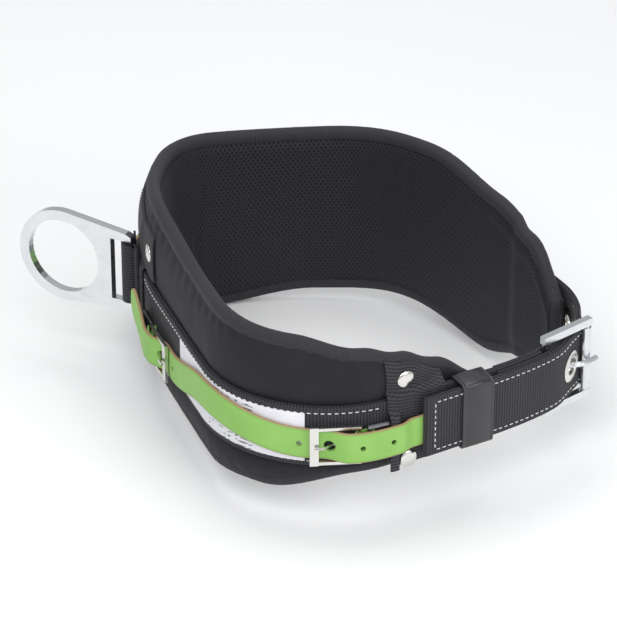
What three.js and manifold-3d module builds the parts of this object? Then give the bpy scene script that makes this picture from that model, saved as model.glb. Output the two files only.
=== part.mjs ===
// A padded climbing belt, standing as a buckled ring on the lower edge of its pad.
// Millimetres, +Z up. The buckle is at -Y and the hanging ring at the middle of the back points to +Y.
// Soft pieces are drawn flat (x along the belt, y up, z outwards) and bent along the belt's route in plan.
import * as THREE from "three";
import { mergeVertices } from "three/addons/utils/BufferGeometryUtils.js";
import Module from "manifold-3d";

const wasm = await Module();
wasm.setup();

const GAP = 0.3; // between touching pieces

// The belt's route in plan, counterclockwise from the roller: each stretch has a length and a turn.
const ROUTE_START = new THREE.Vector2(13, -174);
const ROUTE_HEADING = 8;
const STRETCHES = [
  { length: 60, turn: 48 },
  { length: 100, turn: 8 },
  { length: 70, turn: 17 },
  { length: 60, turn: 32 },
  { length: 90, turn: 19 },
  { length: 60, turn: 62 },
  { length: 120, turn: 33 },
  { length: 100, turn: 1 },
  { length: 60, turn: 41 },
  { length: 90, turn: 57 },
  { length: 78, turn: 0 },
  { length: 46, turn: 16 },
];
const PIVOT_STATION = STRETCHES.reduce((sum, stretch) => sum + stretch.length, 0);
const BELT_Z = 74; // middle of the webbing above the ground
const BELT_WIDTH = 45;
const BELT_THICK = 4; // two plies
const BELT_FACE = BELT_THICK / 2;

// Pad: its reach above and below the webbing's middle line at stations along the route.
const PAD_FROM = 47;
const PAD_TO = 872;
const PAD_ABOVE = [
  { at: 47, reach: 30 },
  { at: 82, reach: 53 },
  { at: 130, reach: 63 },
  { at: 200, reach: 74 },
  { at: 340, reach: 68 },
  { at: 430, reach: 70 },
  { at: 540, reach: 82 },
  { at: 640, reach: 73 },
  { at: 740, reach: 71 },
  { at: 790, reach: 60 },
  { at: 820, reach: 50.5 },
  { at: 850, reach: 36 },
  { at: 872, reach: 28 },
];
const PAD_BELOW = [
  { at: 47, reach: 38 },
  { at: 80, reach: 48 },
  { at: 140, reach: 66 },
  { at: 220, reach: 58 },
  { at: 300, reach: 64 },
  { at: 380, reach: 74 },
  { at: 412, reach: 74 },
  { at: 470, reach: 65 },
  { at: 550, reach: 53 },
  { at: 650, reach: 54 },
  { at: 715, reach: 48.5 },
  { at: 785, reach: 34 },
  { at: 872, reach: 33 },
];
const PAD_OUTSIDE = -BELT_FACE - GAP;
const PAD_TUCK = 3.2; // its two ends go this much further in, behind the keeper and the eyelets
const TUCK_LEFT = { from: 832, to: 846 };
const TUCK_RIGHT = { from: 92, to: 106 };
const PAD_THICK = 12;
const PAD_CORNER = 26; // rounding of the two ends
const EDGE_DROP = 3; // each face drops this much over the outer quarter of the height
const PAD_ROWS = 4;
const LAYER_GAP = 0.6;
const EDGE_GAP = 1; // between the layers' edges and the binding
const COVER_THICK = 1.2;
const LINING_THICK = 3;
const BINDING_REACH = 5;
const PAD_STEP = 16;
const BINDING_PROUD = 0.8;

// Webbing patches over the belt, and their rivets.
const RING_STATION = 505;
const PATCH_THICK = 2;
const RING_PATCH_WIDTH = 46;
const LOOP_WIDTH = 45;
const LOOP_REACH = 321.5; // from the hanging ring to the middle of each front loop
const PATCH_FACE = BELT_FACE + GAP + PATCH_THICK; // outer face over the belt
const RIVET_CAP = 6.5;
const RIVET_RISE = 1.7;
const RIVET_SHANK = 2;
const RING_SHOULDER = 50; // half width of its patch and wings above the belt
const RING_RIVET_REACH = 38;
const RING_RIVET_Z = 46;
const LOOP_RIVET_REACH = 314.6;
const LOOP_RIVET_TOP = 34;
const LOOP_RIVET_LOW = -25;

// Hanging ring, by distance out from its bar.
const RING_THICK = 6;
const RING_BAR = 5;
const RING_EYE = 53;
const RING_HOLE_R = 28.5;
const RING_OUTER_R = 36;
const RING_HALF = 30.3;
const RING_SLOT_HALF = 24.2;
const RING_CROSSBAR = 10.5;
const RING_HEADING = 90;
const RING_Z = 11; // its middle over the webbing's
const SLEEVE_IN = 4.3;
const SLEEVE_OUT = 6.1;
const SLEEVE_HALF = 23.4;
const RING_OFFSET = PATCH_FACE + SLEEVE_OUT - 1;

// Main buckle: pivot bar at the strap's end, roller on the outer bar.
const FRAME_HEADING = 337;
const FRAME_SPAN = 38;
const FRAME_INSIDE = 25.3;
const FRAME_HALF = 30.8;
const FRAME_THICK = 5;
const FRAME_BAR_R = 2.4;
const ROLLER_R = 3.5;
const CHAPE_THICK = 2;
const CHAPE_MIDDLE = BELT_FACE + CHAPE_THICK / 2 + 0.8;
const CHAPE_LENGTH = 45;
const PRONG_R = 2;
const TAIL_OVER = 7.6; // tail's middle line outside the strap's, at the pivot
const TAIL_SPREAD = 3.9; // and this much further out at the tip
const TAIL_LENGTH = 106; // past the pivot
const EYELET_HOLE_R = 5.75;
const EYELET_R = 11.5;
const EYELET_PITCH = 30;
const EYELETS = 4;
const KEEPER_BACK = 66; // from the pivot
const KEEPER_WIDTH = 24;
const KEEPER_THICK = 1.8;
const KEEPER_ROOM = 0.7;

// Accessory straps, one each side, by distance from the hanging ring.
const STRAP_WIDTH = 23;
const STRAP_THICK = 2.4;
const STRAP_FROM = 34;
const STRAP_TO = 329;
const STRAP_Z_TAIL = 9; // height of its middle over the webbing's, at the rear tail
const STRAP_Z_REAR = -10; // along the rear buckle
const STRAP_Z_SIDE = 6; // at the highest place between the buckles
const STRAP_Z_FRONT = -3.4;
const STRAP_HOLE_R = 1.8;
const STRAP_HOLE_PITCH = 19.3;
const PRONG_HOLE_R = 4.2;
const PRONG_HOLE_FROM_BAR = 18.4;
const REAR_LINK = 42;
const FRONT_LINK = 302.5;
const LINK_SPAN = 16;
const TAB_FROM = REAR_LINK - 8.4; // webbing tab over the rear link's bar
const TAB_TO = REAR_LINK + 9;
const TAB_HALF = 8.7;
const TAB_THICK = 1.5;
const TAB_SLOPE = 3;
const LINK_OFFSET = 5.7;
const LINK_HALF = 11;
const LINK_BAR_R = 1.75;
const SMALL_CHAPE_SPAN = 7;
const SMALL_CHAPE_THICK = 1.2;
const SMALL_CHAPE_HALF = 9;
const SMALL_SPAN = 27;
const SMALL_OFFSET = 7.6;
const SMALL_HALF = 14.25;
const SMALL_BAR = 2.2;
const SMALL_FLAT = 6; // width of the bar that the prong rests on
const SMALL_PRONG_R = 1;
const LABEL_FROM = 616;
const LABEL_TO = 750;
const LABEL_HEIGHT = 37;
const LABEL_THICK = 0.4;

const MATERIALS = {
  cover: { color: 0x2b2b30, roughness: 0.9, metalness: 0 },
  foam: { color: 0x3a3a3a, roughness: 1, metalness: 0 },
  mesh: { color: 0x1a1a1d, roughness: 0.95, metalness: 0 },
  binding: { color: 0x4a4a50, roughness: 0.85, metalness: 0 },
  webbing: { color: 0x333338, roughness: 0.85, metalness: 0 },
  steel: { color: 0xd5d9dc, roughness: 0.25, metalness: 1 },
  darkSteel: { color: 0x62666b, roughness: 0.4, metalness: 1 },
  blackLeather: { color: 0x3c3c42, roughness: 0.45, metalness: 0 },
  greenLeather: { color: 0x84c05a, roughness: 0.6, metalness: 0 },
  label: { color: 0xf1f1f3, roughness: 0.7, metalness: 0 },
};

const root = new THREE.Group();

// ---- Solids ----

function solidOf(geometry) {
  const bare = geometry.clone();
  bare.deleteAttribute("normal");
  bare.deleteAttribute("uv");
  const merged = mergeVertices(bare, 1e-4);
  return new wasm.Manifold(
    new wasm.Mesh({
      numProp: 3,
      vertProperties: merged.attributes.position.array,
      triVerts: new Uint32Array(merged.index ? merged.index.array : merged.attributes.position.count),
    }),
  );
}

function geometryOf(solid) {
  const mesh = solid.getMesh();
  return new THREE.BufferGeometry()
    .setAttribute("position", new THREE.BufferAttribute(mesh.vertProperties, 3))
    .setIndex(new THREE.BufferAttribute(mesh.triVerts, 1));
}

const join = (...shapes) => geometryOf(shapes.map(solidOf).reduce((all, one) => all.add(one)));
const cut = (shape, ...tools) =>
  geometryOf(tools.map(solidOf).reduce((left, one) => left.subtract(one), solidOf(shape)));

function add(name, geometry, material, parent = root) {
  geometry.computeVertexNormals();
  const mesh = new THREE.Mesh(geometry, new THREE.MeshStandardMaterial(MATERIALS[material]));
  mesh.name = name;
  parent.add(mesh);
  return mesh;
}

// ---- The route ----

// Point and heading on the counterclockwise route at a station.
function routeAt(station) {
  const point = ROUTE_START.clone();
  let heading = THREE.MathUtils.degToRad(ROUTE_HEADING);
  let left = station;
  for (const [i, { length, turn }] of STRETCHES.entries()) {
    const last = i === STRETCHES.length - 1;
    const run = last ? left : Math.min(left, length);
    const bend = THREE.MathUtils.degToRad(turn * (run / length));
    const chord = Math.abs(bend) < 1e-9 ? run : (2 * Math.sin(bend / 2) * run) / bend;
    point.x += chord * Math.cos(heading + bend / 2);
    point.y += chord * Math.sin(heading + bend / 2);
    heading += bend;
    left -= run;
    if (left <= 0) break;
  }
  return { point, heading };
}

// Place in plan at a distance outwards from a route.
function beside(route, station, offset) {
  const { point, heading } = route(station);
  return new THREE.Vector2(point.x + offset * Math.sin(heading), point.y - offset * Math.cos(heading));
}

// Bends a flat geometry along a route: x runs along it, y is height over the webbing's middle, z is outwards.
function bent(geometry, station = 0, height = 0, offset = 0, route = routeAt) {
  const positions = geometry.attributes.position;
  for (let i = 0; i < positions.count; i++) {
    const place = beside(route, station + positions.getX(i), offset + positions.getZ(i));
    positions.setXYZ(i, place.x, place.y, BELT_Z + height + positions.getY(i));
  }
  return geometry;
}

// Bends a flat sheet and its holes first, so that the cut sheet keeps every bend line, and then cuts the holes.
function bentSheet(flat, holes, route = routeAt) {
  return cut(bent(flat, 0, 0, 0, route), ...holes.map((hole) => bent(hole, 0, 0, 0, route)));
}

// One of a list of rising heights, moved in from the strip's edges as far as the rows beyond it need.
function keptInside(heights, row, low, high) {
  const least = 0.5;
  return THREE.MathUtils.clamp(heights[row], low + row * least, high - (heights.length - 1 - row) * least);
}

// A flat strip whose edges and faces are functions of the station. Rows split it evenly, or at given heights.
function strip({ from, to, step, rows = 1, heights = null, low, high, inner, outer }) {
  const bands = heights ? heights.length - 1 : rows;
  const geometry = new THREE.BoxGeometry(1, 1, 1, Math.ceil((to - from) / step), bands, 1);
  const positions = geometry.attributes.position;
  for (let i = 0; i < positions.count; i++) {
    const station = THREE.MathUtils.lerp(from, to, positions.getX(i) + 0.5);
    const share = positions.getY(i) + 0.5;
    const height = heights
      ? keptInside(heights, Math.round(share * bands), low(station), high(station))
      : THREE.MathUtils.lerp(low(station), high(station), share);
    const offset = positions.getZ(i) > 0 ? outer(station, height) : inner(station, height);
    positions.setXYZ(i, station, height, offset);
  }
  return geometry;
}

// A round peg across the strip, for holes and rivets: its axis runs outwards.
function peg(radius, depth, segments = 12) {
  return new THREE.CylinderGeometry(radius, radius, depth, segments).rotateX(Math.PI / 2);
}

// Smooth value between [at, reach] knots.
function along(knots, station) {
  const next = knots.findIndex((knot) => knot.at > station);
  if (next === 0) return knots[0].reach;
  if (next < 0) return knots.at(-1).reach;
  const [a, b] = [knots[next - 1], knots[next]];
  return THREE.MathUtils.lerp(a.reach, b.reach, THREE.MathUtils.smoothstep(station, a.at, b.at));
}

// ---- Pad ----

// The outline closes in over the last stretch at either end.
function endRounding(station) {
  const inside = Math.min(station - PAD_FROM, PAD_TO - station) + 3;
  const t = THREE.MathUtils.clamp(inside / PAD_CORNER, 0, 1);
  return 0.45 + 0.55 * Math.sqrt(1 - (1 - t) ** 2);
}
const padTop = (station) => along(PAD_ABOVE, station) * endRounding(station);
const padBottom = (station) => -along(PAD_BELOW, station) * endRounding(station);

function edgeDrop(station, height) {
  const share = (height - padBottom(station)) / (padTop(station) - padBottom(station));
  return EDGE_DROP * THREE.MathUtils.clamp(4 * Math.abs(share - 0.5) - 1, 0, 1);
}
function padFace(station) {
  const left = THREE.MathUtils.smoothstep(station, TUCK_LEFT.from, TUCK_LEFT.to);
  const right = 1 - THREE.MathUtils.smoothstep(station, TUCK_RIGHT.from, TUCK_RIGHT.to);
  return PAD_OUTSIDE - PAD_TUCK * (left + right);
}
const padOuter = (station, height) => padFace(station) - edgeDrop(station, height);
const padInner = (station, height) => padFace(station) - PAD_THICK + edgeDrop(station, height);

// One layer of the pad between two faces, inside its bound edge.
function padLayer(outer, inner) {
  return strip({
    from: PAD_FROM,
    to: PAD_TO,
    step: PAD_STEP,
    rows: PAD_ROWS,
    low: (s) => padBottom(s) + BINDING_REACH + EDGE_GAP,
    high: (s) => padTop(s) - BINDING_REACH - EDGE_GAP,
    outer,
    inner,
  });
}

const LOOP_RIVET_OFFSET = 0.9; // of the rivets above the belt, on the webbing that lies on the pad
const ringRivets = [-1, 1].map((side) => ({
  station: RING_STATION + side * RING_RIVET_REACH,
  height: RING_RIVET_Z,
  offset: LOOP_RIVET_OFFSET,
}));
const loopRivets = [-1, 1].flatMap((side) => [
  { station: RING_STATION + side * LOOP_RIVET_REACH, height: LOOP_RIVET_TOP, offset: LOOP_RIVET_OFFSET },
  { station: RING_STATION + side * LOOP_RIVET_REACH, height: LOOP_RIVET_LOW, offset: PATCH_FACE },
]);
const rivetHole = ({ station, height }) => peg(RIVET_SHANK + GAP, 14, 8).translate(station, height, 0);
const rivetHoles = (places) => places.map(rivetHole);

function pad() {
  const cover = padLayer(padOuter, (s, z) => padOuter(s, z) - COVER_THICK);
  const foam = padLayer(
    (s, z) => padOuter(s, z) - COVER_THICK - LAYER_GAP,
    (s, z) => padInner(s, z) + LINING_THICK + LAYER_GAP,
  );
  const lining = padLayer((s, z) => padInner(s, z) + LINING_THICK, padInner);
  const holes = rivetHoles([...ringRivets, ...loopRivets]);
  add("pad_outer_cover", bentSheet(cover, holes), "cover");
  add("pad_foam_core", bentSheet(foam, holes), "foam");
  add("pad_mesh_lining", bent(lining), "mesh");
  binding();
}

function binding() {
  const outer = (s) => padFace(s) - EDGE_DROP + BINDING_PROUD;
  const inner = (s) => padFace(s) - PAD_THICK + EDGE_DROP - BINDING_PROUD;
  const run = { from: PAD_FROM, to: PAD_TO, step: PAD_STEP, outer, inner };
  const top = strip({ ...run, low: (s) => padTop(s) - BINDING_REACH, high: padTop });
  const bottom = strip({ ...run, low: padBottom, high: (s) => padBottom(s) + BINDING_REACH });
  add("binding_top", bent(top), "binding");
  add("binding_bottom", bent(bottom), "binding");
  for (const [name, from] of [["left", PAD_FROM - GAP - BINDING_REACH], ["right", PAD_TO + GAP]]) {
    const end = THREE.MathUtils.clamp(from, PAD_FROM, PAD_TO);
    const cap = strip({
      from,
      to: from + BINDING_REACH,
      step: BINDING_REACH,
      low: () => padBottom(end) + 1,
      high: () => padTop(end) - 1,
      outer,
      inner,
    });
    add("binding_end_" + name, bent(cap), "binding");
  }
}

// ---- Patches ----

// Vertical webbing, flat over the belt. Past the belt's edges it drops to the pad.
const PAD_CLEAR = 0.9;
const EDGE_OVER = BELT_WIDTH / 2 + 1;
const EDGE_DOWN = BELT_WIDTH / 2 + 5;

function patchInner(station, height) {
  const over = BELT_FACE + GAP;
  const rest = padOuter(station, height) + PAD_CLEAR;
  return THREE.MathUtils.lerp(over, rest, THREE.MathUtils.smoothstep(Math.abs(height), EDGE_OVER, EDGE_DOWN));
}

// The raised edge of a front loop, over the link bar caught under it.
const RIDGE_TOP = 10.5;
const RIDGE_END = 17;
const RIDGE_PAST = LINK_BAR_R + 1; // past the bar's axis
const RIDGE_SLOPE = 2.6;

function ridge(station, height) {
  const rise = LINK_OFFSET + LINK_BAR_R - BELT_FACE;
  const past = Math.abs(station - RING_STATION) - FRONT_LINK - RIDGE_PAST;
  const across = 1 - THREE.MathUtils.smoothstep(past, 0, RIDGE_SLOPE);
  return rise * across * (1 - THREE.MathUtils.smoothstep(height, RIDGE_TOP, RIDGE_END));
}

function patch({ middle, width, heights, low, high, inner }) {
  return strip({
    from: middle - width / 2,
    to: middle + width / 2,
    step: 2.25,
    heights,
    low,
    high,
    inner,
    outer: (s, z) => inner(s, z) + PATCH_THICK,
  });
}

function ringPatch() {
  const low = -48;
  const high = padTop(RING_STATION - RING_SHOULDER) - BINDING_REACH - 4;
  const flat = patch({
    middle: RING_STATION,
    width: RING_PATCH_WIDTH,
    heights: [low, -40, -EDGE_DOWN, -EDGE_OVER, 0, EDGE_OVER, EDGE_DOWN, 45, high],
    low: () => low,
    high: () => high,
    inner: patchInner,
  });
  const { x, y } = beside(routeAt, RING_STATION, RING_OFFSET);
  const tube = (radius, length) => upright(radius, length, 0, 20).translate(x, y, BELT_Z + RING_Z);
  add("ring_patch", cut(join(bent(flat), tube(SLEEVE_OUT, 2 * SLEEVE_HALF)), tube(SLEEVE_IN, 60)), "webbing");
  ringShoulders(high);
}

// Wings of the ring's patch, on the pad above the belt.
function ringShoulders(high) {
  const from = RING_PATCH_WIDTH / 2 + GAP;
  for (const [name, side] of [["left", -1], ["right", 1]]) {
    const flat = patch({
      middle: RING_STATION + (side * (from + RING_SHOULDER)) / 2,
      width: RING_SHOULDER - from,
      heights: [EDGE_DOWN, 36, RING_RIVET_Z, high],
      low: () => EDGE_DOWN,
      high: () => high,
      inner: patchInner,
    });
    add("ring_shoulder_" + name, bentSheet(flat, rivetHoles(ringRivets)), "webbing");
  }
}

function frontLoops() {
  for (const [name, side] of [["left", -1], ["right", 1]]) {
    const reach = Math.max(...PAD_ABOVE.map((knot) => knot.reach));
    const flat = patch({
      middle: RING_STATION + side * LOOP_REACH,
      width: LOOP_WIDTH,
      heights: [-reach, -BELT_WIDTH / 2, -8, RIDGE_TOP, RIDGE_END, EDGE_OVER, EDGE_DOWN, reach],
      low: (s) => padBottom(s) + BINDING_REACH + 0.5,
      high: (s) => padTop(s) - BINDING_REACH - 0.5,
      inner: (s, z) => (z > 0 ? patchInner(s, z) : BELT_FACE + GAP) + ridge(s, z),
    });
    const sheet = bentSheet(flat, rivetHoles(loopRivets));
    add("front_loop_" + name, sheet, "webbing");
  }
}

function rivets() {
  const profile = [
    [0, -5],
    [RIVET_SHANK, -5],
    [RIVET_SHANK, GAP],
    [RIVET_CAP, GAP],
    [RIVET_CAP, GAP + 0.6],
    [RIVET_CAP * 0.7, GAP + RIVET_RISE * 0.8],
    [0, GAP + RIVET_RISE],
  ];
  const names = ["ring_left", "ring_right", "loop_left_top", "loop_left_low", "loop_right_top", "loop_right_low"];
  [...ringRivets, ...loopRivets].forEach(({ station, height, offset }, i) => {
    const points = profile.map(([r, z]) => new THREE.Vector2(r, z));
    const turned = new THREE.LatheGeometry(points, 10).rotateX(Math.PI / 2);
    add("rivet_" + names[i], bent(turned, station, height, offset), "steel");
  });
}

// ---- Hanging ring ----

function hangingRing() {
  const outline = new THREE.Shape();
  const touch = Math.asin((RING_OUTER_R - RING_HALF) / RING_EYE) + Math.PI / 2;
  outline.moveTo(-RING_BAR / 2, -RING_HALF + 2);
  outline.lineTo(2, -RING_HALF);
  outline.absarc(RING_EYE, 0, RING_OUTER_R, -touch, touch, false);
  outline.lineTo(2, RING_HALF);
  outline.lineTo(-RING_BAR / 2, RING_HALF - 2);
  const eye = new THREE.Path().absarc(RING_EYE, 0, RING_HOLE_R, 0, 2 * Math.PI, true);
  const slotEnd = RING_EYE - RING_HOLE_R - RING_CROSSBAR;
  const slot = new THREE.Path([
    new THREE.Vector2(RING_BAR / 2, -RING_SLOT_HALF),
    new THREE.Vector2(RING_BAR / 2, RING_SLOT_HALF),
    new THREE.Vector2(slotEnd, RING_SLOT_HALF),
    new THREE.Vector2(slotEnd, -RING_SLOT_HALF),
  ]);
  outline.holes.push(eye, slot);
  const plate = new THREE.ExtrudeGeometry(outline, { depth: RING_THICK, bevelEnabled: false, curveSegments: 20 });
  plate.translate(0, 0, -RING_THICK / 2).rotateX(Math.PI / 2);
  const ring = add("hanging_ring", plate, "steel");
  const { x, y } = beside(routeAt, RING_STATION, RING_OFFSET);
  ring.position.set(x, y, BELT_Z + RING_Z);
  ring.rotation.z = THREE.MathUtils.degToRad(RING_HEADING);
}

// ---- Belt and main buckle ----

const pivot = routeAt(PIVOT_STATION).point;
const frameDirection = new THREE.Vector2(1, 0).rotateAround(new THREE.Vector2(), THREE.MathUtils.degToRad(FRAME_HEADING));
const frameOutwards = new THREE.Vector2(-frameDirection.y, frameDirection.x).negate();
const inFrame = (u, v) => pivot.clone().addScaledVector(frameDirection, u).addScaledVector(frameOutwards, v);

// The free end: off the counterclockwise route at JOIN, inside the roller, out over the pivot, along the strap.
const JOIN = 30;
const EYELET_U = 21;
const tailOffset = (back) => TAIL_OVER + (TAIL_SPREAD * back) / TAIL_LENGTH;
const tailPlaces = [
  ...[1.6, 1, 0.5].map((share) => routeAt(JOIN * share).point),
  inFrame(FRAME_SPAN + 1, -7.2),
  inFrame(EYELET_U, 0.9),
  inFrame(4, 7.6),
  ...[18, 45, 75, TAIL_LENGTH].map((back) => beside(routeAt, PIVOT_STATION - back, tailOffset(back))),
];
const tailCurve = new THREE.CatmullRomCurve3(tailPlaces.map(({ x, y }) => new THREE.Vector3(x, y, 0)), false, "centripetal");
tailCurve.arcLengthDivisions = 800;
const tailTotal = tailCurve.getLength();
const tailStart = nearest(tailCurve, tailPlaces[1]);

// Distance along a curve of its place nearest to a point.
function nearest(curve, { x, y }) {
  const target = new THREE.Vector3(x, y, 0);
  const count = 1200;
  const gaps = Array.from({ length: count + 1 }, (_, i) => curve.getPointAt(i / count).distanceTo(target));
  return (gaps.indexOf(Math.min(...gaps)) / count) * curve.getLength();
}

// The whole belt's route: the ring's own beyond JOIN, and the free end below it.
function beltAt(station) {
  if (station >= JOIN) return routeAt(station);
  const share = THREE.MathUtils.clamp((tailStart + JOIN - station) / tailTotal, 0, 1);
  const { x, y } = tailCurve.getPointAt(share);
  const back = tailCurve.getTangentAt(share);
  return { point: new THREE.Vector2(x, y), heading: Math.atan2(-back.y, -back.x) };
}
const tailTip = JOIN - (tailTotal - tailStart);
const firstEyelet = JOIN - (nearest(tailCurve, tailPlaces[4]) - tailStart);
const eyeletStations = Array.from({ length: EYELETS }, (_, i) => firstEyelet + i * EYELET_PITCH);

function belt() {
  const flat = strip({
    from: tailTip,
    to: PIVOT_STATION - 6,
    step: 10,
    low: () => -BELT_WIDTH / 2,
    high: () => BELT_WIDTH / 2,
    inner: () => -BELT_FACE,
    outer: () => BELT_FACE,
  });
  const holes = eyeletStations.map((station) => peg(EYELET_HOLE_R + 1.5, 10, 16).translate(station, 0, 0));
  add("main_belt", bentSheet(flat, holes, beltAt), "webbing");
}

function eyelets() {
  const flange = BELT_FACE + GAP + 0.15;
  const profile = [
    [EYELET_HOLE_R, -flange - 0.7],
    [EYELET_R, -flange - 0.7],
    [EYELET_R, -flange],
    [EYELET_HOLE_R + 1.2, -flange],
    [EYELET_HOLE_R + 1.2, flange],
    [EYELET_R, flange],
    [EYELET_R, flange + 0.7],
    [EYELET_HOLE_R, flange + 0.7],
    [EYELET_HOLE_R, -flange - 0.7],
  ];
  eyeletStations.forEach((station, i) => {
    const points = profile.map(([r, z]) => new THREE.Vector2(r, z));
    const turned = new THREE.LatheGeometry(points, 12).rotateX(Math.PI / 2);
    add("eyelet_" + (i + 1), bent(turned, station, 0, 0, beltAt), "steel");
  });
}

// Folded webbing that holds the pivot bar: two legs along the strap and a bend round the bar.
function buckleChape() {
  const leg = (side) =>
    [CHAPE_LENGTH, 30, 15, 5].map((back) => beside(routeAt, PIVOT_STATION - back, side * CHAPE_MIDDLE));
  const bend = [70, 35, 0, -35, -70].map((degrees) => {
    const angle = THREE.MathUtils.degToRad(degrees);
    return inFrame(CHAPE_MIDDLE * Math.cos(angle), CHAPE_MIDDLE * Math.sin(angle));
  });
  const places = [...leg(1), ...bend, ...leg(-1).reverse()];
  const curve = new THREE.CatmullRomCurve3(places.map(({ x, y }) => new THREE.Vector3(x, y, 0)), false, "centripetal");
  const length = curve.getLength();
  const route = (station) => {
    const share = THREE.MathUtils.clamp(station / length, 0, 1);
    const { x, y } = curve.getPointAt(share);
    const ahead = curve.getTangentAt(share);
    return { point: new THREE.Vector2(x, y), heading: Math.atan2(ahead.y, ahead.x) };
  };
  const half = CHAPE_THICK / 2;
  const flat = new THREE.BoxGeometry(length, BELT_WIDTH - 2, CHAPE_THICK, 36, 1, 1).translate(length / 2, 0, 0);
  const slot = new THREE.BoxGeometry(24, 2 * PRONG_R + 5, 3 * half + 2, 12, 1, 1).translate(length / 2, 0, 0);
  add("buckle_chape", bentSheet(flat, [slot], route), "webbing");
}

function upright(radius, length, x, segments = 14) {
  return new THREE.CylinderGeometry(radius, radius, length, segments).rotateX(Math.PI / 2).translate(x, 0, 0);
}

// A round bar along a curve given as [u, outwards] places in a buckle's own plane.
function bentBar(places, radius, out, steps) {
  const curve = new THREE.CatmullRomCurve3(places.map(([u, v]) => new THREE.Vector3(u, v * out, 0)));
  const section = new THREE.Shape().absarc(0, 0, radius, 0, 2 * Math.PI, false);
  return new THREE.ExtrudeGeometry(section, { steps, curveSegments: 4, bevelEnabled: false, extrudePath: curve });
}

function mainBuckle() {
  const group = new THREE.Group();
  group.position.set(pivot.x, pivot.y, BELT_Z);
  group.rotation.z = THREE.MathUtils.degToRad(FRAME_HEADING);
  root.add(group);

  const armHeight = FRAME_HALF - FRAME_INSIDE;
  const armLength = FRAME_SPAN + 2 * FRAME_BAR_R + 1.4;
  const arm = (side) =>
    new THREE.BoxGeometry(armLength, FRAME_THICK, armHeight).translate(
      FRAME_SPAN / 2,
      0,
      side * (FRAME_INSIDE + armHeight / 2),
    );
  const bars = [0, FRAME_SPAN].map((x) => upright(FRAME_BAR_R, 2 * FRAME_INSIDE + armHeight, x));
  add("buckle_frame", join(arm(1), arm(-1), ...bars), "steel", group);

  const rollerHole = upright(FRAME_BAR_R + GAP, 60, FRAME_SPAN, 18);
  add("buckle_roller", cut(upright(ROLLER_R, 48, FRAME_SPAN, 18), rollerHole), "steel", group);

  const loop = cut(upright(FRAME_BAR_R + 2.6, 2 * PRONG_R, 0, 18), upright(FRAME_BAR_R + GAP, 20, 0, 18));
  const shank = bentBar([[3.9, -1.2], [8, -4], [14, -3.6], [21, 0.4], [29, 5], [37, 6.1], [43, 5.6]], PRONG_R, -1, 14);
  add("buckle_prong", join(loop, shank), "steel", group);
}

// Leather keeper round the strap and the free end.
function keeper() {
  const station = PIVOT_STATION - KEEPER_BACK;
  const { heading } = routeAt(station);
  const inside = { low: -BELT_FACE - KEEPER_ROOM, high: tailOffset(KEEPER_BACK) + BELT_FACE + KEEPER_ROOM };
  const halfHeight = BELT_WIDTH / 2 + KEEPER_ROOM;
  const box = (grow) => {
    const depth = inside.high - inside.low + 2 * grow;
    return new THREE.BoxGeometry(KEEPER_WIDTH + (grow ? 0 : 10), depth, 2 * (halfHeight + grow));
  };
  const loop = add("keeper", cut(box(KEEPER_THICK), box(0)), "blackLeather");
  const middle = beside(routeAt, station, (inside.high + inside.low) / 2);
  loop.position.set(middle.x, middle.y, BELT_Z);
  loop.rotation.z = heading;
}

function label() {
  const flat = strip({
    from: LABEL_FROM,
    to: LABEL_TO,
    step: 8,
    low: () => -LABEL_HEIGHT / 2,
    high: () => LABEL_HEIGHT / 2,
    inner: () => BELT_FACE + GAP,
    outer: () => BELT_FACE + GAP + LABEL_THICK,
  });
  add("label", bent(flat), "label");
}

// ---- Accessory straps ----

// Height of the strap's middle, by distance from the hanging ring.
const STRAP_HEIGHT = [
  { at: STRAP_FROM, reach: STRAP_Z_TAIL },
  { at: 62, reach: STRAP_Z_REAR },
  { at: 97, reach: STRAP_Z_REAR },
  { at: 166, reach: STRAP_Z_SIDE },
  { at: 247, reach: STRAP_Z_FRONT },
];
const strapZ = (reach) => along(STRAP_HEIGHT, reach);

const STRAP_RISE = [
  { at: STRAP_FROM, reach: 12.5 },
  { at: 50, reach: 11.4 },
  { at: 64, reach: 12.3 },
  { at: 70, reach: 12 },
  { at: 88, reach: 4.5 },
  { at: 98, reach: 4.5 },
  { at: 170, reach: 5 },
  { at: 240, reach: 4.5 },
  { at: 256.5, reach: 4.5 },
  { at: 274.5, reach: 12 },
  { at: 280, reach: 12.3 },
  { at: 305.5, reach: 11.4 },
  { at: 316, reach: 8 },
  { at: STRAP_TO, reach: 7.9 },
];

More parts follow.
